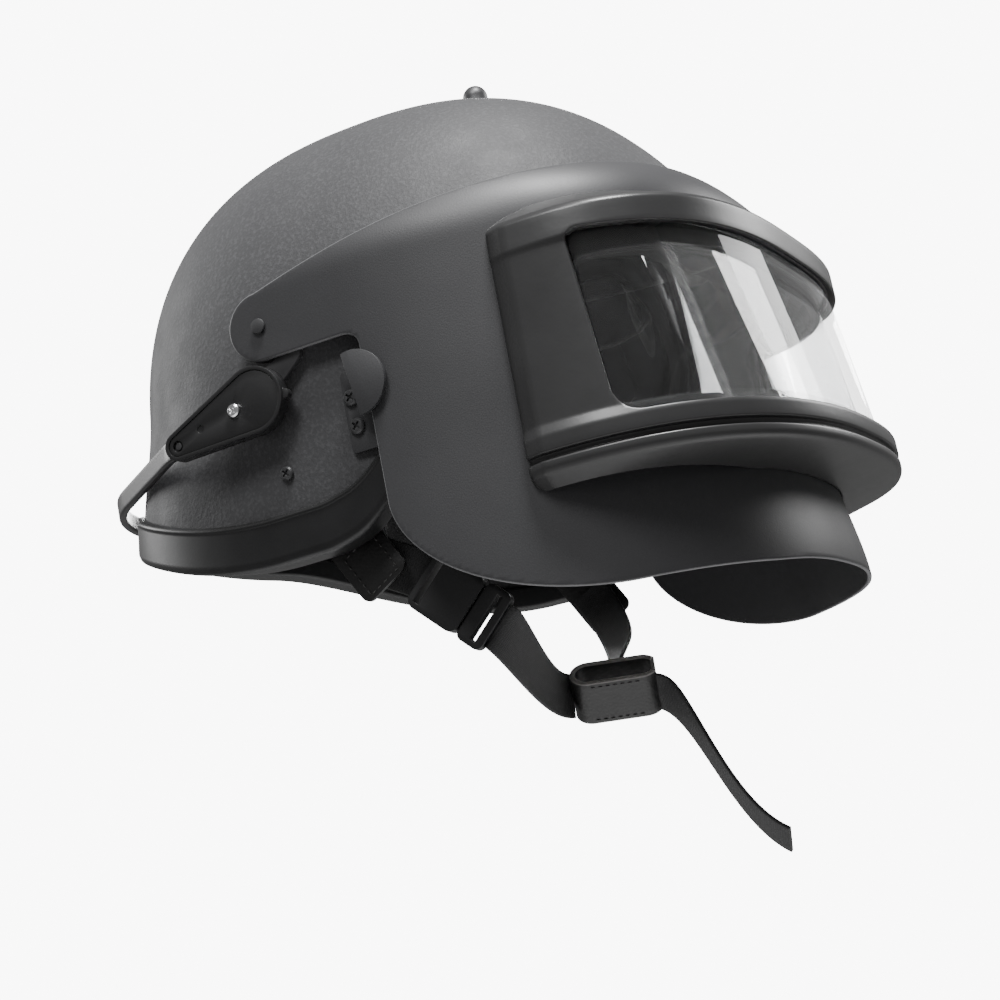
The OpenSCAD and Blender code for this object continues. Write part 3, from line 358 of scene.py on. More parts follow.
def skin(rings, closed=False):
    """Points and faces of a tube through rings; closed joins its ends, which otherwise are fans."""
    n, m = rings.shape[:2]
    p = rings.reshape(-1, 3)
    if closed:
        return p, [grid_faces(n + 1, m, True) % (n * m)]
    j = np.arange(m)
    k = (j + 1) % m
    first = np.stack([np.full(m, n * m), k, j], 1)
    last = np.stack([np.full(m, n * m + 1), (n - 1) * m + j, (n - 1) * m + k], 1)
    points = np.concatenate([p, np.stack([rings[0].mean(0), rings[-1].mean(0)])])
    return points, [grid_faces(n, m, True), np.concatenate([first, last])]


def split(uv, tris, f, level):
    """Cuts triangles along field = level: the crossed sides get a point by linear interpolation."""
    s = f - level
    s = np.where(np.abs(s) < 1e-4, 1e-4, s)
    side = s > 0
    k = side[tris].sum(1)
    mixed = (k == 1) | (k == 2)
    t = tris[mixed]
    odd = np.where(k[mixed] == 1, side[t].argmax(1), (~side[t]).argmax(1))
    a, b, c = t[np.arange(len(t))[:, None], (odd[:, None] + np.arange(3)) % 3].T
    ends = np.sort(np.stack([np.r_[a, a], np.r_[b, c]], 1), 1)
    ends, index = np.unique(ends, axis=0, return_inverse=True)
    w = (s[ends[:, 0]] / (s[ends[:, 0]] - s[ends[:, 1]]))[:, None]
    index = index.ravel() + len(uv)
    p, q = index[:len(a)], index[len(a):]
    uv = np.concatenate([uv, uv[ends[:, 0]] * (1 - w) + uv[ends[:, 1]] * w])
    cut = [np.stack(corners, 1) for corners in ((a, p, q), (p, b, c), (p, c, q))]
    return uv, np.concatenate([tris[~mixed], *cut]), np.r_[f, np.full(len(ends), float(level))]


def trimmed_sheet(surface, us, vs, field, rounding, thickness):
    """Shape and edge distances of a sheet on surface(u, v, depth), kept where field(u, v) is above
    zero. Its edges are rounded: at the distance d from the edge both faces sink by
    r - sqrt(r^2 - (r - d)^2)."""
    uv = np.stack(np.meshgrid(us, vs, indexing="ij"), -1).reshape(-1, 2)
    q = grid_faces(len(us), len(vs))
    tris = np.concatenate([q[:, [0, 1, 2]], q[:, [0, 2, 3]]])
    f = field(uv[:, 0], uv[:, 1])
    for level in [0] + [rounding * (1 - math.cos(math.radians(a))) for a in (30, 60, 90)]:
        uv, tris, f = split(uv, tris, f, level)
        if level == 0:
            tris = tris[f[tris].mean(1) > 0]
    used, tris = np.unique(tris, return_inverse=True)
    tris, uv, f = tris.reshape(-1, 3), uv[used], np.maximum(f[used], 0)
    sunk = rounding - np.sqrt(np.maximum(0, rounding ** 2 - (rounding - np.minimum(f, rounding)) ** 2))
    t = thickness(uv[:, 0], uv[:, 1]) if callable(thickness) else np.full(len(uv), float(thickness))
    sunk = np.minimum(sunk, 0.49 * t)
    n = len(uv)
    p = np.concatenate([surface(uv[:, 0], uv[:, 1], sunk), surface(uv[:, 0], uv[:, 1], t - sunk)])
    sides = np.concatenate([tris[:, [0, 1]], tris[:, [1, 2]], tris[:, [2, 0]]])
    _, at, count = np.unique(np.sort(sides, 1) @ [n, 1], return_index=True, return_counts=True)
    a, b = sides[at[count == 1]].T
    return (p, [tris, tris[:, ::-1] + n, np.stack([b, a, a + n, b + n], 1)]), np.r_[f, f]


def band(path, side, width, thickness, round_to):
    """Rings of a flat strip on a path: a rounded rectangle, its width along `side` and its thickness
    across it. Also each point's distance along the path and across the strip, for the weave."""
    t = unit(np.gradient(path, axis=0))
    side = np.broadcast_to(side, path.shape)
    v = unit(side - t * (side * t).sum(1, keepdims=True))
    n = np.cross(t, v)
    w, h, r = width / 2, thickness / 2, min(round_to, thickness / 2)
    a = np.array([0, 30, 60, 90])
    corner = np.stack([w - r + r * sin_d(a), h - r + r * cos_d(a)], 1)
    top = np.stack([np.linspace(-(w - r), w - r, 9)[1:-1], np.full(7, h)], 1)
    loop = np.concatenate([top, corner, corner[::-1] * [1, -1], top[::-1] * [1, -1],
                           corner * [-1, -1], corner[::-1] * [-1, 1]])
    rings = path[:, None] + v[:, None] * loop[None, :, :1] + n[:, None] * loop[None, :, 1:]
    s = run(path)
    uv = stack(s[:, None], loop[None, :, 0]).reshape(-1, 2)
    return rings, np.concatenate([uv, [[s[0], 0], [s[-1], 0]]])


def joined(parts):
    """Several closed surfaces as one set of points and faces."""
    points, faces, at = [], [], 0
    for p, fs in parts:
        points.append(p)
        faces += [f + at for f in outward(p, fs)]
        at += len(p)
    return np.concatenate(points), faces


def wire(path, v, n, radius, sides):
    """Rings of round wire on a path, from the directions v and n across it."""
    th = np.linspace(0, 360, sides, endpoint=False)[:, None]
    return path[:, None] + radius * (v[:, None] * cos_d(th) + n[:, None] * sin_d(th))


def sewn(path, up, pitch):
    """Shape of stitches set out at a pitch along a line: each a round thread, thin at both ends, that
    arches by half a turn of a sine."""
    path = np.asarray(path, float)
    s = run(path)
    count = max(1, int(s[-1] / pitch))
    starts = (np.arange(count) + (1 - STITCH_FILL) / 2) * s[-1] / count

    def at(q, x):
        return np.stack([np.interp(x, s, q[:, k]) for k in range(3)], 1)

    u = np.linspace(0, 1, 6)[:, None]
    r = STITCH_T / 2 * np.sqrt(np.clip(1 - (2 * u - 1) ** 4, 0.06, 1))[:, None]
    ups = np.broadcast_to(np.array(up, float), path.shape)
    ends = at(path, starts), at(path, starts + STITCH_FILL * s[-1] / count)
    parts = []
    for a, b, n in zip(*ends, unit(at(ups, starts))):
        middle = a + (b - a) * u + n * STITCH_LIFT * np.sin(np.pi * u)
        parts.append(skin(wire(middle, np.cross(unit(b - a), n)[None], n[None], r, 6)))
    return joined(parts)


def softened(node, width):
    """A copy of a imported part, its flat faces made whole and its sharp edges rounded to a width."""
    bm = bmesh.new()
    bm.from_mesh(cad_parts[node].data)
    bmesh.ops.remove_doubles(bm, verts=bm.verts, dist=2e-6)
    bmesh.ops.dissolve_limit(bm, angle_limit=math.radians(0.8), verts=bm.verts, edges=bm.edges)
    if width:
        sharp = [e for e in bm.edges
                 if len(e.link_faces) == 2 and e.calc_face_angle(0) > math.radians(CREASE)]
        bmesh.ops.bevel(bm, geom=sharp, offset=width / 1000, offset_type="OFFSET", segments=2,
                        profile=0.5, affect="EDGES", clamp_overlap=True)
    bmesh.ops.triangulate(bm, faces=[f for f in bm.faces if len(f.verts) > 4])
    out = bpy.data.meshes.new(node + "_piece")
    bm.to_mesh(out)
    bm.free()
    # Only sheets get lighter edges, the plate's worn and with a painted highlight, the leather's cut, so
    # every point here counts as far from one
    return placed(node + "_piece", out, CREASE, np.full(len(out.vertices), 10.0))


def fit(obj, body, kind, *nodes, slot=None):
    """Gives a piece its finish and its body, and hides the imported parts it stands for."""
    obj.data.materials.clear()
    obj.data.materials.append(finish(kind))
    slot = slot or kind
    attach(obj, body)
    if nodes:
        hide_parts(*nodes)


# Finishes

class Value:
    """A number in a material. Arithmetic on it adds Math nodes."""

    def __init__(self, paint, socket):
        self.paint, self.socket = paint, socket

    def _math(self, operation, *values):
        return self.paint.node("Math", dict(enumerate(values)), operation=operation)

    def __add__(self, o):
        return self._math("ADD", self, o)

    __radd__ = __add__

    def __sub__(self, o):
        return self._math("SUBTRACT", self, o)

    def __rsub__(self, o):
        return self._math("SUBTRACT", o, self)

    def __mul__(self, o):
        return self._math("MULTIPLY", self, o)

    __rmul__ = __mul__

    def sin(self):
        return self._math("SINE", self)

    def abs(self):
        return self._math("ABSOLUTE", self)

    def below(self, o):
        return self._math("LESS_THAN", self, o)


class Paint:
    """A material, or the studio's backdrop, under construction."""

    def __init__(self, name, owners="materials", shader="Principled BSDF"):
        self.owner = getattr(bpy.data, owners).new(name)
        self.owner.use_nodes = True
        self.tree = self.owner.node_tree
        self.shader = self.tree.nodes[shader]
        self.place = self.node("TexCoord", out="Object")

    def _fill(self, inputs, values):
        for key, value in dict(values).items():
            if isinstance(value, Value):
                self.tree.links.new(value.socket, inputs[key])
            else:
                inputs[key].default_value = value

    def node(self, kind, sockets=(), out=0, **settings):
        """Adds a node: its settings, then the values or links of its sockets. Returns an output."""
        made = self.tree.nodes.new("ShaderNode" + kind)
        for key, value in settings.items():
            setattr(made, key, value)
        self._fill(made.inputs, sockets)
        return Value(self, made.outputs[out])

    def noise(self, scale, detail=2.0):
        return self.node("TexNoise", {"Vector": self.place, "Scale": scale, "Detail": detail})

    def cells(self, scale, feature="F1"):
        return self.node("TexVoronoi", {"Vector": self.place, "Scale": scale}, feature=feature)

    def edge(self):
        """Distance from a sheet's edge in metres."""
        return self.node("Attribute", out="Fac", attribute_name="edge")

    def step(self, value, low, high):
        """A smooth step from 0 at low to 1 at high."""
        sockets = {"Value": value, "From Min": low, "From Max": high}
        return self.node("MapRange", sockets, interpolation_type="SMOOTHSTEP")

    def blend(self, factor, a, b):
        """Colour a where the factor is 0, and b where it is 1."""
        return self.node("Mix", {0: factor, 6: a, 7: b}, 2, data_type="RGBA")

    def shades(self, factor, c, dark, light):
        """One colour, from a darker to a lighter shade of it."""
        return self.blend(factor, rgb(c, dark), rgb(c, light))

    def bump(self, height, distance, strength):
        return self.node("Bump", {"Height": height, "Distance": distance, "Strength": strength})

    def done(self, constants=(), **varying):
        """Sets the shader's own sockets, and links what varies."""
        self._fill(self.shader.inputs, constants)
        self._fill(self.shader.inputs, {key.replace("_", " "): v for key, v in varying.items()})
        return self.owner


def rgb(c, k=1.0):
    return (c[0] * k, c[1] * k, c[2] * k, 1.0)


def shell_paint(c):
    """Matt textured paint: fine grit in two sizes over a slow change of shade."""
    p = Paint("textured_shell_paint")
    slow, grit, fine = p.noise(14, 3), p.noise(620, 2), p.noise(1900, 1)
    speck = p.blend(p.step(grit, 0.45, 0.7), p.shades(slow, c, 0.8, 1.2), rgb(c, 1.45))
    return p.done(Base_Color=speck, Roughness=0.5 + 0.22 * p.noise(55, 2) + 0.08 * fine,
                  Normal=p.bump(0.7 * grit + 0.3 * fine, 0.00042, 0.55))


def plate_paint(c):
    """Satin sheet-metal paint, lighter along its edges: rubbed-down wear there, and also a painted edge
    highlight.
    """
    p = Paint("satin_plate_paint")
    near, fine, slow = p.edge(), p.noise(1500, 2), p.noise(20, 3)
    # Lighter colour along the edges: worn paint, and also a painted highlight standing in for light
    # caught on the edge
    wear_and_highlight = 1 - p.step(near + 0.0005 * (fine - 0.5), 0.0001, 0.0008)
    base = p.blend(wear_and_highlight, p.shades(slow, c, 0.85, 1.15), (0.13, 0.13, 0.135, 1))
    return p.done({"Metallic": 0.0}, Base_Color=base, Roughness=0.36 + 0.16 * slow + 0.1 * fine,
                  Normal=p.bump(fine, 0.00012, 0.35))


def moulded(name, c, rough, peel=260.0):
    """Moulded plastic: a shallow orange peel and a faint change of gloss."""
    p = Paint(name)
    slow, fine = p.noise(35, 3), p.noise(peel, 2)
    return p.done(Base_Color=p.shades(slow, c, 0.85, 1.2), Roughness=rough - 0.05 + 0.1 * slow,
                  Normal=p.bump(fine, 0.00006, 0.6))


def rubber(name, c, rough):
    """Smooth rubber with a soft bloom."""
    p = Paint(name)
    slow, fine = p.noise(60, 3), p.noise(1400, 2)
    return p.done({"Specular IOR Level": 0.4}, Base_Color=p.shades(slow, c, 0.8, 1.3),
                  Roughness=rough + 0.12 * (slow - 0.5), Normal=p.bump(fine, 0.00005, 0.4))


def metal(name, c, rough, metallic=1.0):
    """Metal with fine lathe marks; a dark oxide on it is less metallic."""
    p = Paint(name)
    slow, fine = p.noise(120, 3), p.noise(2600, 2)
    return p.done({"Metallic": metallic}, Base_Color=p.shades(slow, c, 0.85, 1.1),
                  Roughness=rough + 0.1 * slow + 0.06 * fine, Normal=p.bump(fine, 0.00003, 0.5))


def glass(c):
    """Clear curved window with the faintest change of tint."""
    p = Paint("clear_window")
    clear = {"Transmission Weight": 1.0, "IOR": 1.49, "Roughness": 0.0, "Alpha": 0.45}
    return p.done(clear, Base_Color=p.shades(p.noise(30, 4), c, 0.98, 1.02))


def webbing_weave(c):
    """Plain woven webbing on the strap's own lengths: ribs across it and a twill line along it."""
    p = Paint("woven_webbing")
    uv = p.node("UVMap", uv_map="along")
    along, across = (p.node("SeparateXYZ", {0: uv}, k) for k in (0, 1))
    rib = (along * 5200.0 + (across * 3600.0).sin() * 0.9).sin()
    weave = 0.5 + 0.28 * rib + 0.22 * (across * 4200.0).sin().abs()
    fuzz = p.noise(2400, 2)
    shade = p.shades(p.step(weave + 0.3 * (fuzz - 0.5), 0.15, 0.95), c, 0.45, 1.5)
    return p.done({"Sheen Weight": 0.08, "Sheen Roughness": 0.5}, Base_Color=shade,
                  Roughness=0.62 + 0.2 * fuzz, Normal=p.bump(weave + 0.2 * fuzz, 0.00025, 0.6))


def pad_cloth(c):
    """Knitted lining cloth over foam: rows of small loops."""
    p = Paint("knitted_pad_cloth")
    loops, fuzz, slow = p.cells(900), p.noise(3000, 2), p.noise(25, 2)
    shade = p.blend(p.step(loops, 0.1, 0.75), p.shades(slow, c, 0.8, 1.25), rgb(c, 0.35))
    return p.done({"Sheen Weight": 0.5, "Sheen Roughness": 0.45}, Base_Color=shade,
                  Roughness=0.8 + 0.12 * fuzz, Normal=p.bump(1 - loops + 0.3 * fuzz, 0.0004, 0.7))


def leather(c):
    """Coated leather: a pebbled grain, creased where it folds, and paler where it is cut."""
    p = Paint("grained_leather")
    grain, fine, slow = p.cells(750, "SMOOTH_F1"), p.noise(2600, 2), p.noise(70, 3)
    cut = 1 - p.step(p.edge(), 0.0002, 0.0009)
    shade = p.blend(cut, p.shades(slow, c, 0.75, 1.3), (0.26, 0.25, 0.24, 1))
    return p.done(Base_Color=shade, Roughness=0.34 + 0.2 * slow + 0.25 * cut,
                  Normal=p.bump(grain * 0.8 + 0.2 * fine + 0.5 * slow, 0.0003, 0.6))


def thread(c):
    """Waxed sewing thread with its twist."""
    p = Paint("sewing_thread")
    twist = p.node("TexWave", {"Vector": p.place, "Scale": 900.0, "Distortion": 1.0},
                   wave_type="BANDS", bands_direction="DIAGONAL")
    return p.done(Base_Color=p.shades(twist, c, 0.7, 1.3), Roughness=0.55 + 0.1 * p.noise(900, 1),
                  Normal=p.bump(twist, 0.0001, 0.5))


finishes = {}


def finish(kind):
    """The finish of a kind, made once from the colours in the panel."""
    if kind not in finishes:
        c = bpy.context.scene.helmet_finishes
        make, *values = {
            "shell_paint": (shell_paint, c.shell_colour),
            "plate_paint": (plate_paint, c.plate_colour),
            "frame_black": (moulded, "moulded_frame_black", c.frame_colour, 0.36),
            "edge_trim": (rubber, "edge_trim_rubber", c.trim_colour, 0.42),
            "lever_black": (moulded, "moulded_lever_black", c.lever_colour, 0.36, 420.0),
            "gasket_rubber": (rubber, "gasket_rubber", (0.02, 0.02, 0.02), 0.6),
            "window_clear": (glass, c.window_colour),
            "pad_cloth": (pad_cloth, c.pad_colour),
            "webbing_black": (webbing_weave, c.webbing_colour),
            "leather_black": (leather, c.leather_colour),
            "buckle_plastic": (moulded, "buckle_plastic", (0.010, 0.010, 0.0105), 0.4, 500.0),
            "screw_dark": (metal, "blackened_screw", (0.05, 0.05, 0.052), 0.36, 0.35),
            "screw_bright": (metal, "bright_screw", (0.82, 0.82, 0.83), 0.16),
            "steel_plain": (metal, "plain_steel", (0.17, 0.17, 0.175), 0.34),
            "thread": (thread, c.thread_colour),
        }[kind]
        finishes[kind] = make(*values)
    return finishes[kind]


# Panel values

def colour(name, value, text):
    return FloatVectorProperty(name=name, description=text, subtype="COLOR", size=3, min=0, max=1,
                               default=value)


def length(name, value, low, high, text):
    return FloatProperty(name=name, description=text, default=value, min=low, max=high, unit="LENGTH")


def angle(name, degrees, text):
    return FloatProperty(name=name, description=text, default=math.radians(degrees), unit="ROTATION")


class HelmetFinishes(bpy.types.PropertyGroup):
    shell_colour: colour("Shell", (0.034, 0.034, 0.036), "Textured paint of the shell")
    plate_colour: colour("Visor plate", (0.028, 0.028, 0.030), "Satin paint of the visor plate")
    frame_colour: colour("Window frame", (0.023, 0.023, 0.0235), "Moulded window frame")
    trim_colour: colour("Edge trim", (0.008, 0.008, 0.0085), "Rubber trim round the shell")
    lever_colour: colour("Levers", (0.011, 0.011, 0.0115), "Moulded release levers")
    window_colour: colour("Window", (0.93, 0.95, 0.96), "Tint of the window")
    pad_colour: colour("Pads", (0.014, 0.014, 0.015), "Cloth of the fitting pads")
    webbing_colour: colour("Webbing", (0.0055, 0.0055, 0.006), "Woven straps")
    leather_colour: colour("Leather", (0.006, 0.0058, 0.0058), "Chin loop and strap tabs")
    thread_colour: colour("Thread", (0.034, 0.033, 0.033), "Sewing thread")


class HelmetSizes(bpy.types.PropertyGroup):
    mesh_step: length("Mesh step", 0.0022, 0.001, 0.006, "Distance between points of large surfaces")
    edge_round: length("Sheet edge", 0.0008, 0.0002, 0.00095, "Rounding of the visor plate's edge")
    part_round: length("Part edge", PART_ROUND, 0.0001, 0.0012, "Rounding of moulded parts")
    stitch_pitch: length("Stitch pitch", 0.0032, 0.002, 0.006, "Distance from stitch to stitch")
    pad_lift: length("Pad swell", 0.005, 0.001, 0.016, "How far the pads may swell")
    pad_frames: IntProperty(name="Pad steps", description="Steps of the padding simulation",
                            default=18, min=4, max=40)
    camera_azimuth: angle("Azimuth", -66, "Camera's way round the helmet")
    camera_elevation: angle("Elevation", -12, "Camera's angle above the horizon")
    camera_roll: angle("Roll", -11, "Camera's turn about its own axis")
    camera_distance: length("Distance", 1.0, 0.3, 4, "Camera's distance from its target")


# Pieces

class HelmetPart:
    """What all the operators share."""
    bl_options = {"REGISTER", "UNDO"}

    @property
    def sizes(self):
        return bpy.context.scene.helmet_sizes

    @property
    def step(self):
        """Distance between points of large surfaces in millimetres."""
        return self.sizes.mesh_step * 1000


class HELMET_OT_shell(HelmetPart, bpy.types.Operator):
    """Deep dome with its edge trim"""
    bl_idname = "helmet.shell"
    bl_label = "Shell and edge trim"

    def execute(self, context):
        # Rows rise from the edge: evenly over the trim, then by equal shares of a quarter turn
        a = np.linspace(0, 360, 288, endpoint=False)[None]
        low = rim(a) + TRIM_H * np.linspace(0, 1, 8)[:, None]
        z = low[-1]
        quarter = np.degrees(np.arcsin((np.maximum(z, 0) / BOWL_H) ** (BOWL_N / 2))) / 90
        q = mix(np.where(z < 0, z / BOWL_H, quarter)[None], 1, np.linspace(0, 1, 74)[1:-1, None])

        def rows(d):
            above = (BOWL_H + d) * np.maximum(sin_d(90 * q), 0) ** (2 / BOWL_N)
            return bowl(a, np.concatenate([low, np.where(q < 0, q * BOWL_H, above)]), d)

        points, faces = skin(np.concatenate([rows(-SHELL_T)[::-1], rows(0)]))
        points[-2:] = [[0, 0, BOWL_H - SHELL_T], [0, 0, BOWL_H]]
        piece("shell_dome", (points, faces), "helmet", "shell_paint", "shell")
        # Trim: a lipped channel carried round the edge, with a narrow bead along its upper lip
        h, o, t, i = TRIM_H, TRIM_OUT, TRIM_T, -SHELL_T
        section = rounded_path([
            [0.1, h - 0.2], [0.5, h], [2.5, h], [o, h - 1.2], [o, h - 2.2], [o - 0.6, h - 3.0],
            [o - 0.15, 1], [o - 0.9, 0.9 - t], [o - 3, -t], [i + 1 - t, -t], [i - t, 1 - t],
            [i - t, h / 2 - 1], [i + 1 - t, h / 2], [i - 0.1, h / 2], [i - 0.1, h / 4], [i - 0.1, -0.1],
            [0.1, -0.1], [0.1, h / 2], [0.1, h - 0.2]], 0.8)[:-1]
        a = np.linspace(0, 360, 480, endpoint=False)[:, None]
        rings = bowl(a, rim(a) + section[None, :, 1], section[None, :, 0])
        piece("edge_band", skin(rings, closed=True), "helmet", "edge_trim", "rim_trim", crease=40)
        return {"FINISHED"}


def plate_outline():
    """Side view of the visor plate: curved top line, skirt, superellipse corner at the rear and the
    shoulder of the lobe."""
    (py, pz), front, (cy, cz), n = PIVOT, -180, (-107, -54), 2 / 1.85
    y = np.linspace(py, front, 30)
    top = np.stack([y, 52 - 0.235 * y - 0.0006 * y * y], 1)
    a = np.linspace(0, 90, 40)
    corner = np.stack([cy + (PLATE_REAR - cy) * sin_d(a) ** n,
                       cz + (PLATE_LOW - cz) * np.maximum(cos_d(a), 0) ** n], 1)
    low = pz - LOBE_R
    turn = rounded_path([[PLATE_REAR, low - 14], [PLATE_REAR, low], [py, low]], 8, 8)[1:]
    return np.concatenate([top, [[front, PLATE_LOW + 6], [-150, PLATE_LOW + 1.5]], corner, turn])


class HELMET_OT_visor_plate(HelmetPart, bpy.types.Operator):
    """Pressed visor sheet with its window opening and round pivot lobes"""
    bl_idname = "helmet.visor_plate"
    bl_label = "Visor plate"

    def execute(self, context):
        outline = plate_outline()

        def field(u, z):
            x, y, _ = plate(u, z).T
            lobe = LOBE_R - np.hypot(y - PIVOT[0], z - PIVOT[1])
            hole = outside_box(x, z - HOLE_Z, HOLE_W, HOLE_H, HOLE_R)
            return np.minimum(np.maximum(inside(outline, y, z), lobe), hole)

        us = mirrored(evenly(lambda u: plate(u, 0), 0, 130, self.step))
        zs = np.arange(-111, 82, self.step)
        shape, edge = trimmed_sheet(lambda u, z, d: plate(u, z, -d), us, zs, field,
                                    self.sizes.edge_round * 1000, PLATE_T)
        piece("visor_sheet", shape, "visor", "plate_paint", "visor_plate", edge=edge)
        return {"FINISHED"}


def frame_profile():
    """The frame's section from its foot on the skirt up to its foot on the brow: height, half width,
    reach and squareness."""
    w, l, b, n, m = FRAME_W, LEDGE_REACH, BROW_REACH, LEDGE_N, BROW_N
    groove = LEDGE_LOW + 5
    return rounded_path([
        [LEDGE_LOW - 5, w - 7, PLATE_REACH - 2, 2.6], [LEDGE_LOW, w - 1, l - 1, n],
        [LEDGE_LOW + 2, w, l, n], [groove, w, l, n], [groove + 0.3, w - 2.5, l - 2.5, n],
        [groove + 2.7, w - 2.5, l - 2.5, n], [groove + 3, w, l, n], [LEDGE_TOP - 1.5, w, l, n],
        [LEDGE_TOP + 0.2, w - 0.5, l - 1, n], [LEDGE_TOP + 3, w - 1.5, l - 5, 2.5],
        [BROW_LOW - 2, w - 2.5, b - 2.5, 2.8], [BROW_LOW, w - 2, b, m], [BROW_TOP - 2, w - 3, b, m],
        [BROW_TOP, w - 4.5, b - 2, m], [BROW_TOP + 7, w - 15, PLATE_REACH - 6, 2.8]], 0.9, 5)


def frame_plan(u, w, reach, n):
    """Plan of the frame at one level: a superellipse to the front, then back along the pillar and in
    to the plate."""
    a = np.minimum(np.abs(u), 90)
    e = np.maximum(np.abs(u) - 90, 0)
    x = w * sin_d(a) ** (2 / n)
    y = FRAME_Y0 - (reach + FRAME_Y0) * np.maximum(cos_d(a), 0) ** (2 / n)
    rear = PILLAR_Y - FRAME_Y0
    back = rounded_path([[0, 0], [-3, rear], [-22, rear]], 2.2, 6)
    dx, dy = (np.interp(e, run(back), back[:, k]) for k in (0, 1))
    return np.sign(u) * (x + dx), y + dy


def frame_skin(profile, u, v):
    """Point of the frame's outside: v counts along the profile and u goes round it."""
    z, w, reach, n = (np.interp(v, np.arange(len(profile)), column) for column in profile.T)
    return stack(*frame_plan(u, w, reach, n), z)


def window_opening():
    """Side view of the opening: rounded at both ends of its slanted rear edge, open to the front."""
    low, top, front = (-130.0, LEDGE_TOP + 12), (-117.5, BROW_LOW - 3), -250
    return np.concatenate([
        [[front, BROW_LOW], [-150, BROW_LOW], [top[0] - 4, BROW_LOW + 1.6]], arc(*top, 5, 90, 0, 8),
        arc(*low, 12, 0, -90, 12), [[-150, LEDGE_TOP], [front, LEDGE_TOP]]])


def lens_point(u, z, depth):
    """Point of the slanted surface inside the frame's wall, moved in by a depth: its half width,
    reach and squareness change evenly from the ledge to the brow."""
    v = (z - LEDGE_TOP) / (BROW_LOW - LEDGE_TOP)
    w = FRAME_W - 1.2 - 0.8 * v - FRAME_T - depth
    reach = mix(LEDGE_REACH - 1.5, BROW_REACH + 1.5, v) - FRAME_T - depth
    return stack(*frame_plan(u, w, reach, mix(2.5, BROW_N, v)), z)


class HELMET_OT_window_frame(HelmetPart, bpy.types.Operator):
    """Moulded frame with its grooved ledge, brow and pillars"""
    bl_idname = "helmet.window_frame"
    bl_label = "Window frame"

    def execute(self, context):
        profile = frame_profile()
        gap = np.hypot(np.diff(profile[:, 0]), np.diff(profile[:, 2]))
        end = len(gap)
        vs = np.concatenate([np.linspace(k, k + 1, max(1, int(g / self.step)), endpoint=False)
                             for k, g in enumerate(gap)] + [[end]])
        front = evenly(lambda u: frame_skin(profile, u, 30.0), 0, 90, self.step)
        us = mirrored(np.r_[front, np.arange(91, 118, 1.2)])
        opening = window_opening()

        def normal(u, v):
            h = 0.02
            du = frame_skin(profile, u + h * 5, v) - frame_skin(profile, u - h * 5, v)
            up, down = np.minimum(v + h, end), np.maximum(v - h, 0)
            return unit(np.cross(du, frame_skin(profile, u, up) - frame_skin(profile, u, down)))

        def surface(u, v, depth):
            return frame_skin(profile, u, v) - normal(u, v) * depth[:, None]

        def field(u, v):
            p = frame_skin(profile, u, v)
            return np.minimum(-inside(opening, p[:, 1], p[:, 2]), outside_plate(p) - 0.12)

        def thickness(u, v):
            # The wall ends where it meets the plate behind it
            p, n = frame_skin(profile, u, v), normal(u, v)
            return last_held(lambda m: outside_plate(p - n * m[:, None]) > 0.1,
                             np.full(len(u), 0.02), np.full(len(u), FRAME_T), 12)

        wall, _ = trimmed_sheet(surface, us, vs, field, 0.7, thickness)
        # Beds that close the ledge and the brow behind the wall, down to the plate
        parts = [wall]
        for low, top in ((LEDGE_LOW, LEDGE_TOP - 4), (BROW_LOW + 4, BROW_TOP - 2)):
            x, y, _ = lens_point(us[np.abs(us) < 89], top, 0).T

            def towards(m, z):
                # From the middle of the pillars at 0 to the wall at 1
                return stack(x * m, FRAME_Y0 + (y - FRAME_Y0) * m, z)

            feet = [towards(last_held(lambda m: outside_plate(towards(m, z)) > 0.12,
                                      np.ones(len(x)), np.zeros(len(x)), 14), z) for z in (low, top)]
            parts.append(skin(np.stack(feet + [stack(x, y, top), stack(x, y, low)], 1)))
        piece("window_surround", joined(parts), "visor", "frame_black", "window_frame", crease=38)
        return {"FINISHED"}


class HELMET_OT_window(HelmetPart, bpy.types.Operator):
    """Curved window with its gasket and retainer"""
    bl_idname = "helmet.window"
    bl_label = "Window"

    def execute(self, context):
        half = evenly(lambda u: lens_point(u, 0.0, 0), 0, 90 * 15 / 16, self.step)
        low, high = LEDGE_TOP - LENS_LAP, BROW_LOW + LENS_LAP
        zs = np.linspace(low, high, int((high - low) / self.step))
        s = run(lens_point(half, 0.0, 0))

        def pane(u, z):
            side = s[-1] - np.interp(np.abs(u), half, s)
            return np.minimum(side, np.minimum(z - low, high - z)) + 1e-3

        def strip(u, z):
            # Between the pane's outline and a rounded rectangle inside it
            view = outside_box(np.interp(np.abs(u), half, s), z - (VIEW_LOW + VIEW_TOP) / 2,
                               s[-1] - VIEW_SIDE, (VIEW_TOP - VIEW_LOW) / 2, VIEW_R)
            return np.minimum(pane(u, z), view)

        for name, at, t, field, rounding, kind, node in (
                ("window_pane", 0.1, LENS_T - 0.1, pane, 0.4, "window_clear", "window_lens"),
                ("window_gasket", LENS_T + 0.1, 1.5, strip, 0.3, "gasket_rubber", "lens_gasket"),
                ("window_retainer", LENS_T + 1.7, 3.0, strip, 0.6, "frame_black", "lens_retainer")):
            shape, edge = trimmed_sheet(lambda u, z, d: lens_point(u, z, at + d), mirrored(half), zs,
                                        field, rounding, t)
            piece(name, shape, "visor", kind, node, edge=edge)
        return {"FINISHED"}


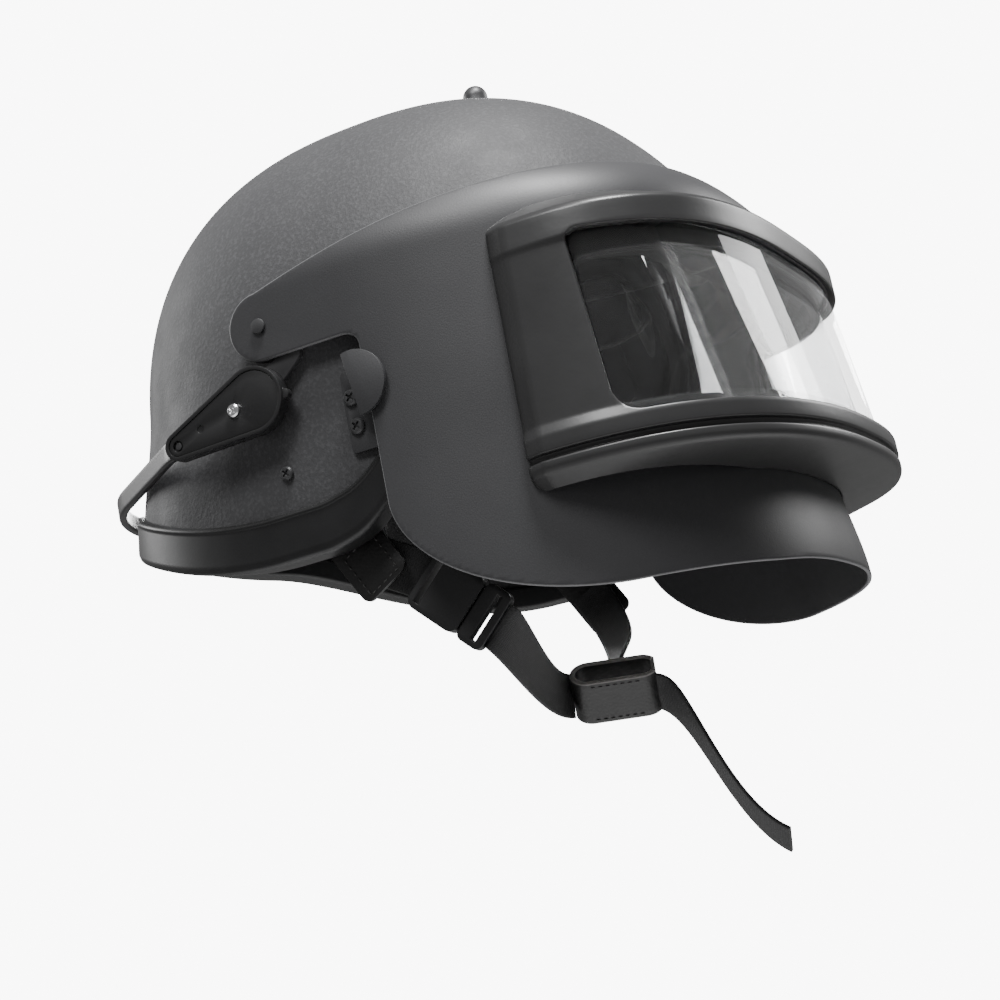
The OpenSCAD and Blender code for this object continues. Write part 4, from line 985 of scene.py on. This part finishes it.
class HELMET_OT_bail(HelmetPart, bpy.types.Operator):
    """Flat bar that joins the levers behind the shell"""
    bl_idname = "helmet.bail"
    bl_label = "Bail"

    def execute(self, context):
        # Three joined curves in plan, mirrored, with a rounded rectangle carried along them
        (y0, z0), b, mid = LEVER_SMALL, BAIL_X, BAIL_REACH - BAIL_T / 2
        leg = np.array([88, 0.782 * BAIL_REACH])
        bend = bezier([[b, y0 + 1], [b, y0 + 5], [b - 2, y0 + 8], [b - 4.6, y0 + 11]],
                      np.linspace(0, 1, 10))
        span = bezier([leg, [70, leg[1] + 22], [40, mid], [0, mid]], np.linspace(0, 1, 50))
        straight = mix(bend[-1], leg, np.linspace(0, 1, 14)[1:-1, None])
        half = np.concatenate([[[b, y0 - 3.8]], bend, straight, span])
        line = np.concatenate([half * [-1, 1], half[-2::-1]])
        rings, _ = band(stack(line[:, 0], line[:, 1], z0), [0, 0, 1.0], BAIL_H, BAIL_T, 1.1)
        piece("rear_bail", skin(rings), "release_lever", "lever_black", "bail", crease=50)
        return {"FINISHED"}


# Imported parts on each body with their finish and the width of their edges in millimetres. A name
# that ends in _ has a right and a left part
HARD_PARTS = {
    "helmet": (
        ("crown_stud", "screw_dark", 0.4), ("crown_nut", "steel_plain", 0.25),
        ("pivot_bush_", "steel_plain", 0.2), ("pivot_pin_", "screw_dark", 0.35),
        ("pivot_nuts", "steel_plain", 0.25), ("keeper_", "plate_paint", 0.45),
        ("keeper_screws", "screw_dark", 0.12), ("keeper_nuts", "steel_plain", 0.2),
        ("lever_boss_", "steel_plain", 0.2), ("lever_screws", "screw_bright", 0.12),
        ("lever_nuts", "steel_plain", 0.2), ("strap_screws", "screw_dark", 0.12),
        ("strap_nuts", "steel_plain", 0.2), ("buckle_socket", "buckle_plastic", 0.7),
        ("buckle_plug", "buckle_plastic", 0.45)),
    "visor": (("frame_screws", "screw_dark", 0.25), ("latch_disc_", "screw_dark", 0.25)),
    "release_lever": (
        ("lever_housing_", "lever_black", 0.4), ("lever_cover_", "lever_black", 0.2),
        ("latch_pawl_", "screw_dark", 0.3), ("bail_rivets", "screw_dark", 0.25)),
}


class HELMET_OT_hardware(HelmetPart, bpy.types.Operator):
    """Screws, nuts, bushes, levers, keepers and the buckle, with their edges rounded"""
    bl_idname = "helmet.hardware"
    bl_label = "Hardware"

    def execute(self, context):
        k = self.sizes.part_round / PART_ROUND
        for body, parts in HARD_PARTS.items():
            for name, kind, width in parts:
                for side in ("right", "left") if name[-1] == "_" else ("",):
                    fit(softened(name + side, width * k), body, kind, name + side)
        return {"FINISHED"}


class HELMET_OT_springs(HelmetPart, bpy.types.Operator):
    """Return springs round the lever bosses"""
    bl_idname = "helmet.springs"
    bl_label = "Lever springs"

    def execute(self, context):
        # A helix of round wire within the room of the spring, ground flat by its small pitch
        for name in ("right", "left"):
            low, high = (np.array(c) * 1000 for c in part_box("lever_spring_" + name))
            x0, x1 = sorted((low[0], high[0]))
            _, y, z = (low + high) / 2
            a = np.linspace(0, 360 * SPRING_TURNS, 140)
            x = mix(x0 + SPRING_WIRE / 2 + 0.02, x1 - SPRING_WIRE / 2 - 0.02, a / a[-1])
            path = stack(x, y + SPRING_R * cos_d(a), z + SEAT_Z + SPRING_R * sin_d(a))
            t = unit(np.gradient(path, axis=0))
            v = unit(np.cross(t, [1.0, 0, 0]))
            rings = wire(path, v, np.cross(t, v), SPRING_WIRE / 2, 12)
            piece("spring_coil_" + name, skin(rings), "helmet", "steel_plain", "lever_spring_" + name)
        return {"FINISHED"}


def strap_routes():
    """Control points and width directions of the straps, from the tabs to the buckle, the chin loop
    and the free end."""
    sewn_x = TAB_X - TAB_T - 0.2 - WEB_T / 2
    at = np.array([sewn_x, TAB_AT[0] + 6.5, TAB_AT[1] + 11.5])
    yaw, pitch = BUCKLE_YAW, BUCKLE_PITCH
    way = np.array([-sin_d(yaw) * cos_d(pitch), cos_d(yaw) * cos_d(pitch), sin_d(pitch)])
    top, start = BUCKLE_AT + way * 8.3, BUCKLE_AT - way * 28.8
    right, drop = np.array([-1, 1, 1]), np.array([0, 0.87, -0.49])
    side, rear = LOOP_W / 2, LOOP_DEPTH / 2
    tail = in_loop([[side - 4, LOOP_T + WEB_T / 2 + 0.3 - rear, -1], [side + 12, -2, -1]])
    return {
        "strap_right": ([at, at + [0, -4, -7], top + way * 7, top] * right,
                        drop, np.array([0, 0.7, -0.7])),
        "chin_strap": ([*([start, start - way * 11] * right),
                        *in_loop([[-side - 12, 0, 0], [-side - 0.3, 0, 0]])],
                       np.array([-0.05, 0.7, -0.7]), turned([0, -0.78, -0.62])),
        "strap_left": ([at, [sewn_x, -15, -102], *in_loop([[0, rear + 16, -1], [0, rear + 0.3, -1]])],
                       drop, turned([-0.34, 0, -0.94])),
        "strap_tail": ([*tail, [3, -82, -190], [3, -108, -208]],
                       turned([0, 0, -1.0]), np.array([0.8, 0.15, -0.58])),
    }


class HELMET_OT_straps(HelmetPart, bpy.types.Operator):
    """Woven straps from the tabs to the buckle, the chin loop and the free tail"""
    bl_idname = "helmet.straps"
    bl_label = "Straps"

    def execute(self, context):
        u = np.linspace(0, 1, 90)
        for node, (p, w0, w1) in strap_routes().items():
            rings, uv = band(bezier(p, u), mix(w0, w1, u[:, None]), WEB_W, WEB_T, 0.7)
            piece(node + "_webbing", skin(rings), "helmet", "webbing_black", node, uv=uv, crease=60)
        return {"FINISHED"}


class HELMET_OT_leather(HelmetPart, bpy.types.Operator):
    """Folded chin loop and the tabs on the shell, with their stitching"""
    bl_idname = "helmet.leather"
    bl_label = "Leather"

    def execute(self, context):
        pitch = self.sizes.stitch_pitch * 1000
        # Chin loop: a strip of leather folded round its rear end
        r, end = LOOP_DEPTH / 2 - LOOP_T / 2, LOOP_W / 2 - LOOP_END
        lip, rear = arc(end, 0, r, LOOP_LIP, 90, 8), arc(-end, 0, r, 90, 270, 24)
        flat = np.column_stack([np.linspace(end, -end, 14)[1:-1], np.full(12, r)])
        line = np.concatenate([lip, flat, rear, flat[::-1] * [1, -1], lip[::-1] * [1, -1]])
        rings, uv = band(stack(line[:, 0], line[:, 1], 0), [0, 0, 1.0], LOOP_H, LOOP_T, 0.5)
        points, faces = skin(rings)
        edge = np.maximum(LOOP_H / 2 - np.abs(uv[:, 1]), 0)
        piece("chin_loop_leather", (in_loop(points), faces), "helmet", "leather_black", "chin_loop",
              uv=uv, edge=edge, crease=55)
        x = np.linspace(end - 0.5, -end, 12)
        rows = [sewn(in_loop(stack(x, side * (r + LOOP_T / 2), z * (LOOP_H / 2 - 2.2))),
                     turned([0, side, 0]), pitch) for side in (-1, 1) for z in (-1, 1)]
        piece("chin_loop_stitches", joined(rows), "helmet", "thread", slot="leather_black", crease=60)
        # Tabs: rounded leather with a box of stitches where the webbing is sewn on
        v = unit(TAB_SCREW - TAB_AT)
        n = np.array([-v[1], v[0]])
        box = [TAB_AT + v * a + n * b for a, b in ((-5, -8), (14, -8), (14, 8), (-5, 8), (-5, -8))]
        for side, name in ((-1, "right"), (1, "left")):
            fit(softened("strap_tab_" + name, 0.55), "helmet", "leather_black", "strap_tab_" + name)
            sewing = sewn([[side * TAB_X, y, z] for y, z in box], [side, 0, 0.0], pitch)
            piece("tab_stitches_" + name, sewing, "helmet", "thread", slot="leather_black", crease=60)
        return {"FINISHED"}


def read(mesh, key):
    """A vector of every point of a mesh: its place, co, or its normal."""
    out = np.empty(len(mesh.vertices) * 3, np.float32)
    mesh.vertices.foreach_get(key, out)
    return out.reshape(-1, 3)


def write(mesh, points):
    mesh.vertices.foreach_set("co", points.astype(np.float32).ravel())
    mesh.update()


class HELMET_OT_pads(HelmetPart, bpy.types.Operator):
    """Fitting pads, swelled as cloth over foam"""
    bl_idname = "helmet.pads"
    bl_label = "Pads"

    def execute(self, context):
        for name in ("crown_pad", "front_pad", "rear_pad", "side_pad_right", "side_pad_left",
                     "ear_pad_right", "ear_pad_left"):
            base = softened(name, 0)
            remesh = base.modifiers.new("remesh", "REMESH")
            remesh.mode, remesh.voxel_size = "VOXEL", PAD_VOXEL
            depsgraph = context.evaluated_depsgraph_get()
            mesh = bpy.data.meshes.new_from_object(base.evaluated_get(depsgraph))
            # The mesh takes its object with it
            bpy.data.meshes.remove(base.data)
            pad = put(name + "_cushion", mesh)
            start = read(mesh, "co").astype(float) - read(mesh, "normal") * PAD_SHRINK
            start = self.swelled(context, pad, start)
            # No point comes nearer than the gap to the shell
            p = start * 1000 + [0, 0, SEAT_Z]
            for _ in range(2):
                out, g = distance_from(cavity, p)
                p = p - unit(g) * np.maximum(0, PAD_GAP + out)[:, None]
            write(mesh, metres(p))
            mesh.shade_smooth()
            sub = pad.modifiers.new("round", "SUBSURF")
            sub.levels = sub.render_levels = 1
            fit(pad, "helmet", "pad_cloth", name)
        return {"FINISHED"}

    def swelled(self, context, pad, start):
        """Points of a pad after its cloth is blown up, none of them moved farther than the lift."""
        write(pad.data, start)
        cloth = pad.modifiers.new("cloth", "CLOTH")
        cloth.settings.quality = 4
        cloth.settings.use_pressure = True
        cloth.settings.uniform_pressure_force = 4
        cloth.settings.effector_weights.gravity = 0
        last = self.sizes.pad_frames
        cloth.point_cache.frame_start, cloth.point_cache.frame_end = 1, last
        for f in range(1, last + 1):
            context.scene.frame_set(f)
        move = read(pad.evaluated_get(context.evaluated_depsgraph_get()).to_mesh(), "co") - start
        far = np.linalg.norm(move, axis=1, keepdims=True)
        pad.modifiers.remove(cloth)
        context.scene.frame_set(1)
        return start + move * np.minimum(1, self.sizes.pad_lift / np.maximum(far, 1e-9))


class HELMET_OT_stage(HelmetPart, bpy.types.Operator):
    """Pale floor, soft lights and the camera"""
    bl_idname = "helmet.stage"
    bl_label = "Stage"

    def execute(self, context):
        floor = bpy.data.meshes.new("floor")
        w = FLOOR_W
        corners = [(x, y, FLOOR_Z) for x, y in ((-w, -w), (w, -w), (w, w), (-w, w))]
        floor.from_pydata(corners, [], [(0, 1, 2, 3)])
        ground = put("floor", floor)
        p = Paint("pale_floor")
        far = p.node("VectorMath", {0: p.place}, "Value", operation="LENGTH")
        grey = p.blend(p.noise(3, 2), (0.82, 0.82, 0.82, 1), (0.85, 0.85, 0.85, 1))
        floor.materials.append(p.done(Base_Color=grey, Roughness=0.7 + 0.1 * p.noise(5, 1),
                                      Alpha=1 - p.step(far, *FLOOR_FADE)))
        # The backdrop is bright where it is seen, also through the window, and its light is soft
        p = Paint("studio", "worlds", "Background")
        camera, window, clear, turns, bounces = (
            p.node("LightPath", out=name) for name in
            ("Is Camera Ray", "Is Transmission Ray", "Is Singular Ray", "Glossy Depth", "Diffuse Depth"))
        straight = window * turns.below(0.5)
        indirect = bounces.below(0.5) * (GLOW_THROUGH * straight + GLOW_MIRRORED * clear)
        glow = GLOW + GLOW_SEEN * camera + indirect
        context.scene.world = p.done({"Color": (1, 1, 1, 1)}, Strength=glow)
        for name, at, size, power in LAMPS:
            lamp = bpy.data.lights.new(name, "AREA")
            lamp.shape, lamp.size, lamp.energy = "DISK", size, power
            obj = put(name, lamp)
            obj.location = at
            obj.rotation_euler = (LAMP_AIM - Vector(at)).to_track_quat("-Z", "Y").to_euler()
            obj.visible_camera = False
        # Camera: out along its azimuth and elevation from the target, then turned about its own axis
        z = self.sizes
        (ca, sa), (ce, se), (c, s) = (
            (math.cos(v), math.sin(v)) for v in (z.camera_azimuth, z.camera_elevation, z.camera_roll))
        away = Vector((sa * ce, -ca * ce, se))
        level = Vector((0, 0, 1)).cross(away).normalized()
        up = away.cross(level)
        turn = Matrix((level * c + up * s, up * c - level * s, away)).transposed().to_4x4()
        lens = bpy.data.cameras.new("camera")
        lens.sensor_width, lens.lens = SENSOR, FOCAL
        lens.clip_start, lens.clip_end = 0.05, 60
        cam = put("camera", lens)
        cam.matrix_world = Matrix.Translation(CAMERA_AIM + away * z.camera_distance) @ turn
        context.scene.camera = cam
        return {"FINISHED"}


PARTS = (HELMET_OT_stage, HELMET_OT_shell, HELMET_OT_visor_plate, HELMET_OT_window_frame,
         HELMET_OT_window, HELMET_OT_bail, HELMET_OT_hardware, HELMET_OT_springs, HELMET_OT_straps,
         HELMET_OT_leather, HELMET_OT_pads)


class HELMET_PT_parts(bpy.types.Panel):
    """The helmet's pieces and their sizes"""
    bl_label = "Helmet"
    bl_idname = "HELMET_PT_parts"
    bl_space_type = "VIEW_3D"
    bl_region_type = "UI"
    bl_category = "Helmet"

    def draw(self, context):
        for part in PARTS:
            self.layout.operator(part.bl_idname)
        for group in (context.scene.helmet_sizes, context.scene.helmet_finishes):
            for key in group.__annotations__:
                self.layout.prop(group, key)


CLASSES = (HelmetFinishes, HelmetSizes, *PARTS, HELMET_PT_parts)


def register():
    for c in CLASSES:
        bpy.utils.register_class(c)
    bpy.types.Scene.helmet_finishes = PointerProperty(type=HelmetFinishes)
    bpy.types.Scene.helmet_sizes = PointerProperty(type=HelmetSizes)


def unregister():
    del bpy.types.Scene.helmet_sizes
    del bpy.types.Scene.helmet_finishes
    for c in reversed(CLASSES):
        bpy.utils.unregister_class(c)


def main():
    register()
    for part in PARTS:
        getattr(bpy.ops.helmet, part.bl_idname.split(".")[1])()
    bpy.context.view_layer.update()


if __name__ == "__main__":
    main()
